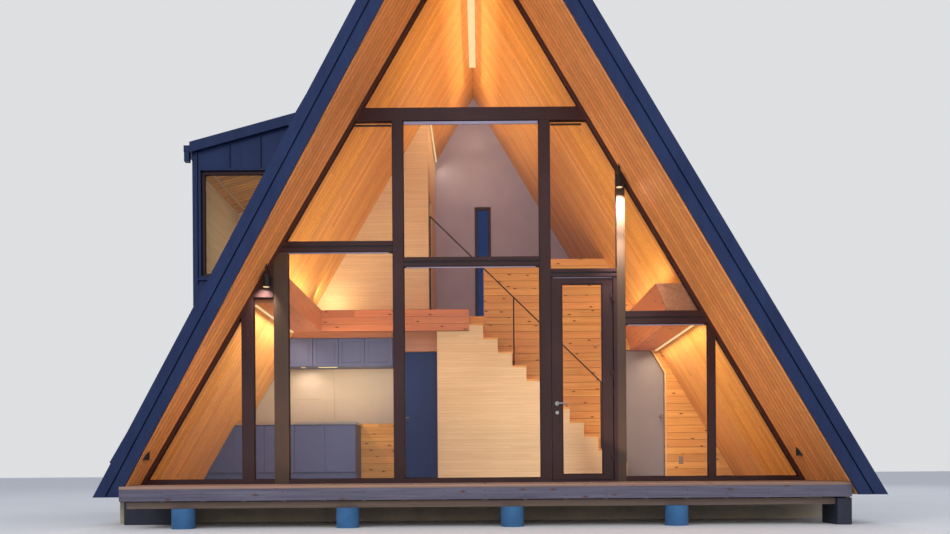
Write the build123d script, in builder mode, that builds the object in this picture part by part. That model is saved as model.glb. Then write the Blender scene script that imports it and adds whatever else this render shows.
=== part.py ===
"""A-frame cabin with a porch deck, a glazed front gable, a loft and a side dormer.

X runs to the right seen from the front, Y runs to the back and Z is up.
The ground is z = 0 and the ridge stands over x = 0. All sizes are in millimetres.
"""
from build123d import *
from math import atan, cos, sin, tan
import os

os.makedirs("parts", exist_ok=True)

# Driving dimensions of the roof
cabin_length = 7280.0          # four bays of 1820 along the ridge
roof_ratio = 1.70              # rise over run of both slopes
inner_half_width = 4405.0      # ridge plane to the boarded soffit, at ground level
roof_foot_height = 330.0       # where the slopes are cut off level above the ground
roof_thickness = 230.0         # metal clad roof panel, square to the slope
ceiling_thickness = 40.0       # boarding under the panel
seam_pitch = 455.0
seam_width = 14.0
seam_height = 28.0
fascia_depth = 40.0            # how far the edge trim covers along the ridge
fascia_groove = 20.0           # shadow line between its two bands
groove_depth = 28.0
ridge_cap_width = 190.0
ridge_cap_thickness = 34.0
left_rake = 900.0              # how far the left front edge steps back at its foot
dormer_seam_gap = 40.0

# Driving dimensions along the building, from the front edge
porch_depth = 1370.0           # front edge to the glazing
stair_front = 2500.0           # glazing to the stair's side wall
partition_front = 3100.0       # glazing to the partition
back_overhang = 330.0          # back gable to the roof's back edge
gable_thickness = 120.0
wall_thickness = 100.0

# Levels above the ground
floor_top = 510.0
floor_thickness = 150.0
deck_top = 470.0
door_head = 2510.0             # top of the inner doors
loft_top = 3060.0
loft_thickness = 210.0
parapet_top = 3960.0

# Glazing frame
frame_depth = 100.0
slope_frame_width = 45.0
beam_top = 5123.0
beam_height = 161.0
mullion_centre = 910.0
mullion_width = 131.0
sill_height = 56.0
left_transom_top = 3475.0
left_transom_height = 136.0
centre_transom_top = 3270.0
centre_transom_height = 117.0
door_transom_top = 3115.0
door_transom_height = 105.0
door_bay = 823.5               # centre mullion to the right post
right_post_width = 102.0
left_post_inset = 1761.5       # soffit at deck level to the left post
left_post_width = 178.0
right_bay_inset = 1158.5       # soffit at deck level to the right bay's mullion
right_bay_width = 90.0
left_bay_inset = 1343.5
left_bay_width = 150.0
right_header_top = 2583.0
right_header_height = 163.0
left_panel_bottom = 2780.0
glass_thickness = 12.0
window_inset = 30.0            # window frames behind the face of their wall

# Front door
door_jamb = 46.0
leaf_gap = 10.0
leaf_thickness = 50.0
leaf_inset = 12.0              # leaf's front face behind the frame's front face
stile_width = 125.0
top_rail = 70.0
bottom_rail = 60.0
leaf_floor_gap = 6.0
threshold_height = 24.0
hinge_diameter = 14.0
hinge_knuckle = 50.0
hinge_plate = 3.0
hinge_reach = 34.0
hinge_slack = 0.3
hinge_end_gap = 200.0          # leaf's end to its first hinge
lever_height = 973.0           # above the deck
lever_length = 115.0
lever_diameter = 18.0
lever_standoff = 48.0
spindle_diameter = 11.4
spindle_clearance = 0.3
rose_diameter = 52.0
rose_thickness = 8.0

# Deck
board_thickness = 32.0
board_width = 118.0
board_gap = 6.0
deck_left_inset = 271.5        # soffit at deck level to the deck's left end
deck_front_gap = 40.0          # deck front behind the roof's front edge
fascia_height = 131.0
fascia_thickness = 38.0
joist_width = 45.0
joist_height = 143.0
joist_pitch = 455.0
bearer_width = 90.0
bearer_height = 72.0
bearer_inset = 60.0            # behind the fascia
pier_diameter = 252.0
pier_pitch = 1820.0
first_pier_x = -3200.0
pier_count = 4

# Foundation
foundation_inset = 144.0       # roof's foot to the foundation's side
deck_inset = 33.0              # floor's edge to the end of what carries the deck
left_block_width = 640.0
left_block_depth = 430.0
right_block_width = 160.0
right_block_depth = 450.0

# Inner doors and stair
inner_leaf_thickness = 36.0
inner_gap = 6.0
inner_hinge_end_gap = 180.0
handle_height = 950.0          # above the floor
handle_inset = 60.0
knob_inset = 55.0
navy_left = -1225.0
navy_right = -555.0
grey_inset = 568.5             # soffit at the door head to the grey door's left side
grey_width = 652.0
grey_strip = 112.0             # wall left between the grey door's cut corner and the slope
stair_top_x = -70.0
riser_count = 12
tread_run = 216.6
tread_thickness = 30.0
tread_nosing = 12.0
riser_thickness = 15.0
stair_wall_thickness = 60.0
stair_end_x = -556.0
passage_right = 158.0
rail_diameter = 20.0
newel_x = 1927.0
mid_post_x = 610.0
upper_post_x = -650.0
rail_height = 1020.0           # above the tread that carries the newel

# Loft
edge_beam_thickness = 45.0
edge_beam_bottom = 2736.0
side_beam_width = 305.0        # at the loft's top
right_beam_bottom = 2500.0
right_beam_top = 2950.0
right_beam_slant = 190.0       # how far its inner face leans back
beam_setback = 130.0           # glazing to the front end of the side beams
return_wall_face = -710.0
upper_door_head = 5120.0
upper_door_width = 740.0
upper_door_offset = 60.0

# Kitchen
cabinet_right = -1250.0
cabinet_bottom = 2240.0
cabinet_top = 2680.0
cabinet_depth = 350.0
base_right = -1800.0
base_depth = 620.0
worktop_top = 1370.0
worktop_thickness = 40.0
worktop_overhang = 25.0

# Back gable, dormer and lights
slit_width = 300.0
slit_centre = 160.0
slit_top = 5480.0
slit_bottom = 3360.0
window_frame = 45.0
dormer_out = 15.0              # soffit's foot to the dormer's face
dormer_wall = 120.0
dormer_back_gap = 90.0         # back gable to the dormer's back
dormer_ratio = 0.268
dormer_eave = 40.0             # dormer's face to its eave
dormer_eave_top = 5800.0
dormer_roof_height = 135.0
dormer_overhang = 80.0
dormer_window_width = 1100.0
dormer_window_top = 5390.0
dormer_window_bottom = 3720.0
gutter_width = 90.0
gutter_height = 100.0
gutter_wall = 6.0
gutter_below_eave = 30.0
gutter_outlet = 150.0
ridge_light_width = 105.0
ridge_light_length = 3900.0
spot_diameter = 92.0
spot_height = 150.0
spot_stem = 26.0
spot_drop = 60.0
left_spot_x = -2530.0
right_spot_x = 1826.0
spot_forward = 70.0
foot_light_radius = 70.0
foot_light_height = 772.0      # its underside
foot_light_forward = 350.0

# Worked out from the above
roof_angle = atan(roof_ratio)
slab_total = roof_thickness + ceiling_thickness
front_y = -cabin_length / 2
back_y = cabin_length / 2
glazing_y = front_y + porch_depth
frame_back_y = glazing_y + frame_depth
stair_y = glazing_y + stair_front
partition_y = glazing_y + partition_front
partition_back_y = partition_y + wall_thickness
gable_back_y = back_y - back_overhang
gable_y = gable_back_y - gable_thickness
return_back = return_wall_face - wall_thickness
beam_bottom = beam_top - beam_height
sill_top = deck_top + sill_height
loft_bottom = loft_top - loft_thickness
riser_height = (loft_top - floor_top) / riser_count
inner_apex = inner_half_width * roof_ratio
slope_length = inner_half_width / cos(roof_angle)
outer_reach = slab_total * tan(roof_angle)
dormer_y = partition_y
dormer_face = inner_half_width + dormer_out
dormer_eave_x = dormer_face + dormer_eave
dormer_back_y = gable_y - dormer_back_gap
dormer_length = dormer_back_y - dormer_y


def slope_x(z, out=0.0):
    """Distance from the ridge plane to the soffit at height z, or out millimetres outside it."""
    return inner_half_width + out / sin(roof_angle) - z / roof_ratio


def slope_z(x, out=0.0):
    """Height of the soffit at distance x from the ridge plane, or out millimetres outside it."""
    return (inner_half_width + out / sin(roof_angle) - abs(x)) * roof_ratio


def section(y):
    """Upright plane across the building at y, drawn in X and Z and extruded by a minus amount to the back."""
    return Plane(origin=(0, y, 0), x_dir=(1, 0, 0), z_dir=(0, -1, 0))


def slope_plane(side, out=0.0):
    """Plane on a slope's soffit: local x is side times Y and local y runs up the slope."""
    normal = (side * sin(roof_angle), 0, cos(roof_angle))
    origin = (side * inner_half_width + normal[0] * out, 0, normal[2] * out)
    return Plane(origin=origin, x_dir=(0, side, 0), z_dir=normal)


def edge_y(side, s, front):
    """Where a slope's front or back edge lies at distance s up the slope."""
    if not front:
        return back_y
    if side > 0:
        return front_y
    foot = roof_foot_height / sin(roof_angle)
    top = slope_length + outer_reach
    return front_y + left_rake * (top - s) / (top - foot)


def dormer_under(x):
    """Height of the dormer roof's underside at x."""
    return dormer_eave_top - dormer_roof_height + dormer_ratio * (x + dormer_eave_x)


def write(name, builder):
    builder.part.label = name
    export_step(builder.part, f"parts/{name}.step")


def band(side, low, high, y_in, y_out, front):
    """Outline in the slope plane of a strip that follows a slope's front or back edge."""
    towards = 1 if front else -1
    points = [
        (side * (edge_y(side, low, front) + towards * y_in), low),
        (side * (edge_y(side, high, front) + towards * y_in), high),
        (side * (edge_y(side, high, front) + towards * y_out), high),
        (side * (edge_y(side, low, front) + towards * y_out), low),
    ]
    return Polygon(*points, align=None)


def cut_to_side(side):
    """Mitre at the ridge plane and level cut at the foot."""
    split(bisect_by=Plane.YZ, keep=Keep.TOP if side > 0 else Keep.BOTTOM)
    split(bisect_by=Plane.XY.offset(roof_foot_height), keep=Keep.TOP)


def slab(side, out, thickness):
    """One layer of a slope between the front and back trims."""
    low = 0.0
    high = slope_length + outer_reach
    with BuildSketch(slope_plane(side, out)) as outline:
        Polygon(
            (side * (edge_y(side, low, True) + fascia_depth), low),
            (side * (edge_y(side, high, True) + fascia_depth), high),
            (side * (back_y - fascia_depth), high),
            (side * (back_y - fascia_depth), low),
            align=None,
        )
    extrude(outline.sketch, amount=thickness)
    cut_to_side(side)


def cut_dormer_hole():
    """Clear the way from the upper room through the left slope into the dormer."""
    inner_face = -dormer_face + dormer_wall
    with BuildSketch(section(dormer_y + dormer_wall)) as hole:
        Polygon(
            (inner_face, loft_top),
            (return_back, loft_top),
            (return_back, dormer_under(return_back)),
            (inner_face, dormer_under(inner_face)),
            align=None,
        )
    extrude(hole.sketch, amount=-(dormer_length - 2 * dormer_wall), mode=Mode.SUBTRACT)


def dormer_meets(top_line):
    """Distance from the ridge plane where a line of the dormer roof meets the slope's outer face."""
    rise = dormer_eave_top - dormer_roof_height * (0 if top_line else 1)
    outer_apex = slope_z(0, slab_total)
    return (outer_apex - rise - dormer_ratio * dormer_eave_x) / (roof_ratio - dormer_ratio)


def seams(side):
    """Standing seams up a slope, from its foot, rake or dormer to the ridge cap."""
    top = slope_length + outer_reach - ridge_cap_width
    foot = roof_foot_height / sin(roof_angle)
    count = int(cabin_length / seam_pitch) - 1
    for i in range(count):
        y = front_y + seam_pitch * (i + 1)
        low = 0.0
        if side < 0:
            reach = slope_length + outer_reach
            rake_start = reach - (y - fascia_depth - front_y) * (reach - foot) / left_rake
            low = max(0.0, rake_start + seam_width)
            if dormer_y - dormer_overhang - seam_width < y < dormer_back_y + dormer_overhang + seam_width:
                meets = dormer_meets(True)
                low = slope_z(meets, slab_total) / sin(roof_angle) + dormer_seam_gap
        if top - low > seam_pitch / 2:
            with BuildSketch(slope_plane(side, slab_total)) as rib:
                with Locations((side * y, (low + top) / 2)):
                    Rectangle(seam_width, top - low)
            extrude(rib.sketch, amount=seam_height)


def xz_solid(points, y, depth):
    """A prism with an outline in X and Z, from y back through depth."""
    with BuildSketch(section(y)) as outline:
        Polygon(*points, align=None)
    extrude(outline.sketch, amount=-depth)


def xz_box(x0, x1, z0, z1, y, depth):
    xz_solid([(x0, z0), (x1, z0), (x1, z1), (x0, z1)], y, depth)


# Roof slopes
for side, name in ((-1, "left_roof"), (1, "right_roof")):
    with BuildPart() as roof:
        slab(side, ceiling_thickness, roof_thickness)
        seams(side)
        split(bisect_by=Plane.XY.offset(roof_foot_height), keep=Keep.TOP)
        if side < 0:
            cut_dormer_hole()
    write(name, roof)

for side, name in ((-1, "left_ceiling"), (1, "right_ceiling")):
    with BuildPart() as ceiling:
        slab(side, 0, ceiling_thickness)
        if side < 0:
            cut_dormer_hole()
    write(name, ceiling)

# Front and back edge trims, two bands with a shadow groove between them
inner_band = (slab_total - fascia_groove) / 2
for side, name in ((-1, "left_fascia"), (1, "right_fascia")):
    with BuildPart() as fascia:
        for front in (True, False):
            low = 0.0
            high = slope_length + outer_reach
            with BuildSketch(slope_plane(side)):
                band(side, low, high, 0, fascia_depth, front)
            extrude(amount=inner_band)
            with BuildSketch(slope_plane(side, inner_band)):
                band(side, low, high, groove_depth, fascia_depth, front)
            extrude(amount=fascia_groove)
            with BuildSketch(slope_plane(side, inner_band + fascia_groove)):
                band(side, low, high, 0, fascia_depth, front)
            extrude(amount=inner_band)
        cut_to_side(side)
    write(name, fascia)

with BuildPart() as ridge_cap:
    half = ridge_cap_width * cos(roof_angle)
    under = slope_z(0, slab_total)
    over = slope_z(0, slab_total + ridge_cap_thickness)
    edge_z = under - ridge_cap_width * sin(roof_angle)
    rise = ridge_cap_thickness * cos(roof_angle)
    out = ridge_cap_thickness * sin(roof_angle)
    xz_solid(
        [(0, under), (half, edge_z), (half + out, edge_z + rise), (0, over),
         (-half - out, edge_z + rise), (-half, edge_z)],
        front_y,
        cabin_length,
    )
write("ridge_cap", ridge_cap)


def frame_outline(side, x0, x1, z0, cap):
    """Outline of an upright or panel between x0 and x1, cut by the cap height and the slope's frame."""
    trim = -slope_frame_width
    points = [(side * x0, z0), (side * x0, min(cap, slope_z(x0, trim)))]
    corner = slope_x(cap, trim)
    if x0 < corner < x1:
        points.append((side * corner, cap))
    top = min(cap, slope_z(x1, trim))
    if top > z0 + 1:
        points += [(side * x1, top), (side * x1, z0)]
    else:
        points.append((side * slope_x(z0, trim), z0))
    return points


# Foundation and floor
floor_bottom = floor_top - floor_thickness
foundation_half_width = slope_x(roof_foot_height, slab_total) - foundation_inset
deck_half_width = slope_x(floor_bottom) - deck_inset
deck_left = slope_x(deck_top) - deck_left_inset
foundation_depth = gable_back_y - glazing_y
with BuildPart() as foundation:
    xz_box(-foundation_half_width, foundation_half_width, 0, roof_foot_height, glazing_y, foundation_depth)
    xz_box(-slope_x(floor_bottom), slope_x(floor_bottom), roof_foot_height, floor_bottom,
           glazing_y, foundation_depth)
    upstand = slope_x(deck_top)
    xz_box(-upstand, upstand, floor_bottom, deck_top, glazing_y, frame_depth)
write("foundation", foundation)

joist_bottom = deck_top - board_thickness - joist_height
left_foot_y = edge_y(-1, roof_foot_height / sin(roof_angle), True)
deck_front_y = front_y + deck_front_gap
joist_front_y = deck_front_y + fascia_thickness
with BuildPart() as corner_blocks:
    xz_box(-deck_half_width, left_block_width - deck_half_width, 0, joist_bottom,
           glazing_y - left_block_depth, left_block_depth)
    xz_box(deck_half_width - right_block_width, deck_half_width, 0, joist_bottom,
           joist_front_y, right_block_depth)
write("corner_blocks", corner_blocks)

with BuildPart() as floor:
    xz_solid(
        [(-slope_x(floor_bottom), floor_bottom), (slope_x(floor_bottom), floor_bottom),
         (slope_x(floor_top), floor_top), (-slope_x(floor_top), floor_top)],
        frame_back_y,
        gable_y - frame_back_y,
    )
write("floor", floor)

# Deck
bearer_bottom = joist_bottom - bearer_height
bearer_y = joist_front_y + bearer_inset
pier_y = bearer_y + bearer_width / 2
with BuildPart() as deck_piers:
    with BuildSketch(Plane.XY):
        for i in range(pier_count):
            with Locations((first_pier_x + i * pier_pitch, pier_y)):
                Circle(pier_diameter / 2)
    extrude(amount=bearer_bottom)
write("deck_piers", deck_piers)

with BuildPart() as deck_bearers:
    bearer_left = -deck_left + joist_width
    bearer_right = deck_half_width - right_block_width
    xz_box(bearer_left, bearer_right, bearer_bottom, joist_bottom, bearer_y, bearer_width)
    xz_box(left_block_width - deck_half_width, bearer_right, bearer_bottom, joist_bottom,
           glazing_y - bearer_width, bearer_width)
write("deck_bearers", deck_bearers)

with BuildPart() as deck_joists:
    joist_left = -deck_left + joist_width / 2
    joist_right = deck_half_width - joist_width
    joist_count = int((joist_right - joist_left) / joist_pitch) + 2
    joist_step = (joist_right - joist_left) / (joist_count - 1)
    for i in range(joist_count):
        x = joist_left + i * joist_step
        xz_box(x - joist_width / 2, x + joist_width / 2, joist_bottom, joist_bottom + joist_height,
               joist_front_y, glazing_y - joist_front_y)
write("deck_joists", deck_joists)

board_bottom = deck_top - board_thickness
deck_depth = glazing_y - deck_front_y
board_count = round(deck_depth / (board_width + board_gap))
board_step = (deck_depth + board_gap) / board_count
with BuildPart() as deck_boards:
    for i in range(board_count):
        y = deck_front_y + i * board_step
        left_top, left_low = -deck_left, -deck_left
        if y > left_foot_y:
            left_top, left_low = -slope_x(deck_top), -slope_x(board_bottom)
        xz_solid(
            [(left_low, board_bottom), (slope_x(board_bottom), board_bottom),
             (slope_x(deck_top), deck_top), (left_top, deck_top)],
            y,
            board_step - board_gap,
        )
write("deck_boards", deck_boards)

with BuildPart() as deck_fascia:
    xz_box(-deck_left, slope_x(board_bottom), board_bottom - fascia_height, board_bottom,
           deck_front_y, fascia_thickness)
write("deck_fascia", deck_fascia)

# Front glazing frame
mullion_in = mullion_centre - mullion_width / 2
mullion_out = mullion_centre + mullion_width / 2
right_post_in = mullion_out + door_bay
right_post_out = right_post_in + right_post_width
deck_reach = slope_x(deck_top)
left_post_x = deck_reach - left_post_inset
left_post_in = left_post_x - left_post_width / 2
left_post_out = left_post_x + left_post_width / 2
right_bay_x = deck_reach - right_bay_inset
right_bay_in = right_bay_x - right_bay_width / 2
right_bay_out = right_bay_x + right_bay_width / 2
left_bay_x = deck_reach - left_bay_inset
left_bay_in = left_bay_x - left_bay_width / 2
left_bay_out = left_bay_x + left_bay_width / 2
left_transom_bottom = left_transom_top - left_transom_height
centre_transom_bottom = centre_transom_top - centre_transom_height
door_transom_bottom = door_transom_top - door_transom_height
right_header_bottom = right_header_top - right_header_height
trim = -slope_frame_width

with BuildPart() as slope_frames:
    xz_solid(
        [(slope_x(deck_top), deck_top), (0, inner_apex), (-slope_x(deck_top), deck_top),
         (-slope_x(deck_top, trim), deck_top), (0, slope_z(0, trim)), (slope_x(deck_top, trim), deck_top)],
        glazing_y,
        frame_depth,
    )
write("slope_frames", slope_frames)

with BuildPart() as top_beam:
    xz_solid(
        [(slope_x(beam_bottom, trim), beam_bottom), (slope_x(beam_top, trim), beam_top),
         (-slope_x(beam_top, trim), beam_top), (-slope_x(beam_bottom, trim), beam_bottom)],
        glazing_y,
        frame_depth,
    )
write("top_beam", top_beam)

with BuildPart() as mullions:
    for side in (-1, 1):
        xz_solid(frame_outline(side, mullion_in, mullion_out, deck_top, beam_bottom), glazing_y, frame_depth)
    xz_solid(frame_outline(1, right_bay_in, right_bay_out, deck_top, right_header_bottom),
             glazing_y, frame_depth)
    xz_solid(frame_outline(-1, left_bay_in, left_bay_out, deck_top, left_panel_bottom),
             glazing_y, frame_depth)
write("mullions", mullions)

with BuildPart() as side_posts:
    xz_solid(frame_outline(1, right_post_in, right_post_out, deck_top, beam_bottom), glazing_y, frame_depth)
    xz_solid(frame_outline(-1, left_post_in, left_post_out, deck_top, left_transom_bottom),
             glazing_y, frame_depth)
write("side_posts", side_posts)

with BuildPart() as transoms:
    xz_solid(frame_outline(-1, mullion_out, left_post_out, left_transom_bottom, left_transom_top),
             glazing_y, frame_depth)
    xz_box(-mullion_in, mullion_in, centre_transom_bottom, centre_transom_top, glazing_y, frame_depth)
    xz_box(mullion_out, right_post_in, door_transom_bottom, door_transom_top, glazing_y, frame_depth)
    xz_solid(frame_outline(1, right_post_out, right_bay_out, right_header_bottom, right_header_top),
             glazing_y, frame_depth)
    xz_solid(frame_outline(-1, left_post_out, left_bay_out, left_panel_bottom, beam_bottom),
             glazing_y, frame_depth)
write("transoms", transoms)

sill_reach = slope_x(deck_top, trim)
with BuildPart() as sills:
    xz_box(-left_post_in, -mullion_out, deck_top, sill_top, glazing_y, frame_depth)
    xz_box(-mullion_in, mullion_in, deck_top, sill_top, glazing_y, frame_depth)
    xz_box(right_post_out, right_bay_in, deck_top, sill_top, glazing_y, frame_depth)
    xz_box(-left_post_out, -left_bay_in, deck_top, sill_top, glazing_y, frame_depth)
    xz_solid(frame_outline(1, right_bay_out, sill_reach, deck_top, sill_top), glazing_y, frame_depth)
    xz_solid(frame_outline(-1, left_bay_out, sill_reach, deck_top, sill_top), glazing_y, frame_depth)
write("sills", sills)

hinge_y = glazing_y - hinge_diameter / 2
leaf_left = mullion_out + leaf_gap
door_opening_right = right_post_in - door_jamb
leaf_right = door_opening_right - leaf_gap
hinge_x = (leaf_right + door_opening_right) / 2
leaf_bottom = deck_top + threshold_height + leaf_floor_gap
leaf_top = door_transom_bottom - leaf_gap
hinge_levels = [leaf_bottom + hinge_end_gap, (leaf_bottom + leaf_top) / 2,
                leaf_top - hinge_end_gap - 2 * hinge_knuckle]
with BuildPart() as door_frame:
    xz_box(door_opening_right, right_post_in, deck_top, door_transom_bottom, glazing_y, frame_depth)
    xz_box(mullion_out, door_opening_right, deck_top, deck_top + threshold_height, glazing_y, frame_depth)
    for z in hinge_levels:
        with BuildSketch(Plane.XY.offset(z)):
            with Locations((hinge_x, hinge_y)):
                Circle(hinge_diameter / 2)
            with Locations((hinge_x + hinge_reach / 2, glazing_y - hinge_plate / 2)):
                Rectangle(hinge_reach, hinge_plate)
        extrude(amount=hinge_knuckle)
write("door_frame", door_frame)

# Front door
leaf_y = glazing_y + leaf_inset
leaf_mid = (leaf_left + leaf_right) / 2
lever_x = leaf_left + stile_width / 2
lever_z = deck_top + lever_height
leaf_hole = spindle_diameter / 2 + spindle_clearance
with BuildPart() as front_door:
    xz_box(leaf_left, leaf_right, leaf_bottom, leaf_top, leaf_y, leaf_thickness)
    with BuildSketch(section(leaf_y)):
        with Locations((leaf_mid, (leaf_bottom + bottom_rail + leaf_top - top_rail) / 2)):
            Rectangle(leaf_right - leaf_left - 2 * stile_width,
                      leaf_top - leaf_bottom - bottom_rail - top_rail)
    extrude(amount=-leaf_thickness, mode=Mode.SUBTRACT)
    with BuildSketch(section(leaf_y)):
        with Locations((lever_x, lever_z)):
            Circle(leaf_hole)
    extrude(amount=-leaf_thickness, mode=Mode.SUBTRACT)
    for z in hinge_levels:
        with BuildSketch(Plane.XY.offset(z + hinge_knuckle + hinge_slack)):
            with Locations((hinge_x, hinge_y)):
                Circle(hinge_diameter / 2)
            with Locations((hinge_x - hinge_reach / 2, (hinge_y + leaf_y) / 2)):
                Rectangle(hinge_reach, leaf_y - hinge_y)
        extrude(amount=hinge_knuckle)
write("front_door", front_door)

with BuildPart() as front_door_roses:
    for start in (leaf_y - rose_thickness, leaf_y + leaf_thickness):
        with BuildSketch(section(start)):
            with Locations((lever_x, lever_z)):
                Circle(rose_diameter / 2)
                Circle(leaf_hole, mode=Mode.SUBTRACT)
        extrude(amount=-rose_thickness)
write("front_door_roses", front_door_roses)

with BuildPart() as front_door_glass:
    xz_box(leaf_left + stile_width, leaf_right - stile_width, leaf_bottom + bottom_rail, leaf_top - top_rail,
           leaf_y + (leaf_thickness - glass_thickness) / 2, glass_thickness)
write("front_door_glass", front_door_glass)

with BuildPart() as front_door_lever:
    front_face = leaf_y - rose_thickness - hinge_slack
    back_face = leaf_y + leaf_thickness + rose_thickness + hinge_slack
    with BuildSketch(section(front_face - lever_standoff)):
        with Locations((lever_x, lever_z)):
            Circle(spindle_diameter / 2)
    extrude(amount=-(back_face - front_face + 2 * lever_standoff))
    for start in (front_face - lever_standoff, back_face):
        with BuildSketch(section(start)):
            with Locations((lever_x, lever_z)):
                Circle(lever_diameter / 2)
        extrude(amount=-lever_standoff)
    for y in (front_face - lever_standoff, back_face + lever_standoff):
        with BuildSketch(Plane(origin=(lever_x, y, lever_z), x_dir=(0, 1, 0), z_dir=(1, 0, 0))):
            Circle(lever_diameter / 2)
        extrude(amount=lever_length)
        with Locations((lever_x, y, lever_z)):
            Sphere(lever_diameter / 2)
write("front_door_lever", front_door_lever)

# Partition behind the living room, with two doorways
partition_top = loft_bottom
grey_left = slope_x(door_head) - grey_inset
grey_right = grey_left + grey_width
grey_corner_in = slope_x(door_head) - grey_strip / sin(roof_angle)
grey_corner_z = slope_z(grey_right + grey_strip / sin(roof_angle))
with BuildPart() as partition_walls:
    xz_solid(
        [(-slope_x(floor_top), floor_top), (navy_left, floor_top), (navy_left, partition_top),
         (-slope_x(partition_top), partition_top)],
        partition_y,
        wall_thickness,
    )
    xz_solid(
        [(navy_right, floor_top), (grey_left, floor_top), (grey_left, slope_z(grey_left)),
         (slope_x(parapet_top), parapet_top), (passage_right, parapet_top), (passage_right, partition_top),
         (navy_right, partition_top)],
        partition_y,
        wall_thickness,
    )
    xz_solid(
        [(grey_right, floor_top), (slope_x(floor_top), floor_top), (slope_x(door_head), door_head),
         (grey_corner_in, door_head), (grey_right, grey_corner_z)],
        partition_y,
        wall_thickness,
    )
write("partition_walls", partition_walls)

with BuildPart() as partition_heads:
    xz_box(navy_left, navy_right, door_head, partition_top, partition_y, wall_thickness)
    xz_solid(
        [(grey_left, door_head), (slope_x(door_head), door_head), (grey_left, slope_z(grey_left))],
        partition_y,
        wall_thickness,
    )
write("partition_heads", partition_heads)

inner_face_y = partition_back_y - leaf_inset
inner_leaf_y = inner_face_y - inner_leaf_thickness
inner_hinge_y = partition_back_y + hinge_diameter / 2
inner_bottom = floor_top + inner_gap
inner_levels = [inner_bottom + inner_hinge_end_gap,
                door_head - inner_gap - inner_hinge_end_gap - 2 * hinge_knuckle]


def inner_hinges(x, away, on_leaf):
    """Knuckles behind an inner door, with the block on its leaf or the plate on the wall."""
    for z in inner_levels:
        level = z + hinge_knuckle + hinge_slack if on_leaf else z
        with BuildSketch(Plane.XY.offset(level)) as knuckle:
            with Locations((x, inner_hinge_y)):
                Circle(hinge_diameter / 2)
            if on_leaf:
                with Locations((x - away * hinge_reach / 2, (inner_hinge_y + inner_face_y) / 2)):
                    Rectangle(hinge_reach, inner_hinge_y - inner_face_y)
            else:
                with Locations((x + away * hinge_reach / 2, partition_back_y + hinge_plate / 2)):
                    Rectangle(hinge_reach, hinge_plate)
        extrude(knuckle.sketch, amount=hinge_knuckle)


navy_hinge_x = navy_right - leaf_gap / 2
grey_hinge_x = grey_left + leaf_gap / 2
with BuildPart() as inner_hinge_plates:
    inner_hinges(navy_hinge_x, 1, False)
    inner_hinges(grey_hinge_x, -1, False)
write("inner_hinge_plates", inner_hinge_plates)

handle_z = floor_top + handle_height
with BuildPart() as navy_door:
    xz_box(navy_left + leaf_gap, navy_right - leaf_gap, inner_bottom, door_head - inner_gap,
           inner_leaf_y, inner_leaf_thickness)
    inner_hinges(navy_hinge_x, 1, True)
write("navy_door", navy_door)

with BuildPart() as navy_door_handle:
    handle_x = navy_left + leaf_gap + handle_inset
    for face, out in ((inner_leaf_y, -1), (inner_face_y, 1)):
        with BuildSketch(section(face)):
            with Locations((handle_x, handle_z)):
                Circle(rose_diameter / 2)
        extrude(amount=-out * rose_thickness)
        with BuildSketch(section(face)):
            with Locations((handle_x, handle_z)):
                Circle(lever_diameter / 2)
        extrude(amount=-out * lever_standoff)
        with BuildSketch(Plane(origin=(handle_x, face + out * lever_standoff, handle_z),
                               x_dir=(0, 1, 0), z_dir=(1, 0, 0))):
            Circle(lever_diameter / 2)
        extrude(amount=lever_length)
write("navy_door_handle", navy_door_handle)

with BuildPart() as grey_door:
    shift = leaf_gap / sin(roof_angle)
    right = grey_right - leaf_gap
    top = door_head - inner_gap
    slant = grey_strip / sin(roof_angle) + shift
    xz_solid(
        [(grey_left + leaf_gap, inner_bottom), (right, inner_bottom), (right, slope_z(right + slant)),
         (slope_x(top) - slant, top), (grey_left + leaf_gap, top)],
        inner_leaf_y,
        inner_leaf_thickness,
    )
    inner_hinges(grey_hinge_x, -1, True)
write("grey_door", grey_door)

with BuildPart() as grey_door_knob:
    knob_x = grey_right - leaf_gap - knob_inset
    for face, out in ((inner_leaf_y, -1), (inner_face_y, 1)):
        with BuildSketch(section(face)):
            with Locations((knob_x, handle_z)):
                Circle(lever_diameter / 2)
        extrude(amount=-out * lever_standoff)
        with Locations((knob_x, face + out * lever_standoff, handle_z)):
            Sphere(rose_diameter / 2)
write("grey_door_knob", grey_door_knob)

# Loft
def loft_outline(right_low, right_top):
    """The loft floor's outline from the left slope to its right edge."""
    return [(-slope_x(loft_bottom), loft_bottom), (right_low, loft_bottom),
            (right_top, loft_top), (-slope_x(loft_top), loft_top)]


side_beam_inner = slope_x(loft_top) - side_beam_width
with BuildPart() as loft_floor:
    xz_solid(loft_outline(slope_x(loft_bottom), slope_x(loft_top)),
             partition_back_y, gable_y - partition_back_y)
    xz_solid(loft_outline(passage_right, passage_right), partition_y, wall_thickness)
    xz_solid(loft_outline(stair_top_x, stair_top_x), stair_y, partition_y - stair_y)
write("loft_floor", loft_floor)

with BuildPart() as loft_edge_beam:
    xz_box(-side_beam_inner, stair_top_x, edge_beam_bottom, loft_top,
           stair_y - edge_beam_thickness, edge_beam_thickness)
write("loft_edge_beam", loft_edge_beam)

beam_start_y = glazing_y + beam_setback
with BuildPart() as side_beams:
    xz_solid(
        [(-side_beam_inner, edge_beam_bottom), (-side_beam_inner, loft_top),
         (-slope_x(loft_top), loft_top), (-slope_x(edge_beam_bottom), edge_beam_bottom)],
        beam_start_y,
        stair_y - beam_start_y,
    )
    xz_solid(
        [(side_beam_inner + right_beam_slant, right_beam_bottom), (side_beam_inner, right_beam_top),
         (slope_x(right_beam_top), right_beam_top), (slope_x(right_beam_bottom), right_beam_bottom)],
        beam_start_y,
        partition_y - beam_start_y,
    )
write("side_beams", side_beams)

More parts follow.
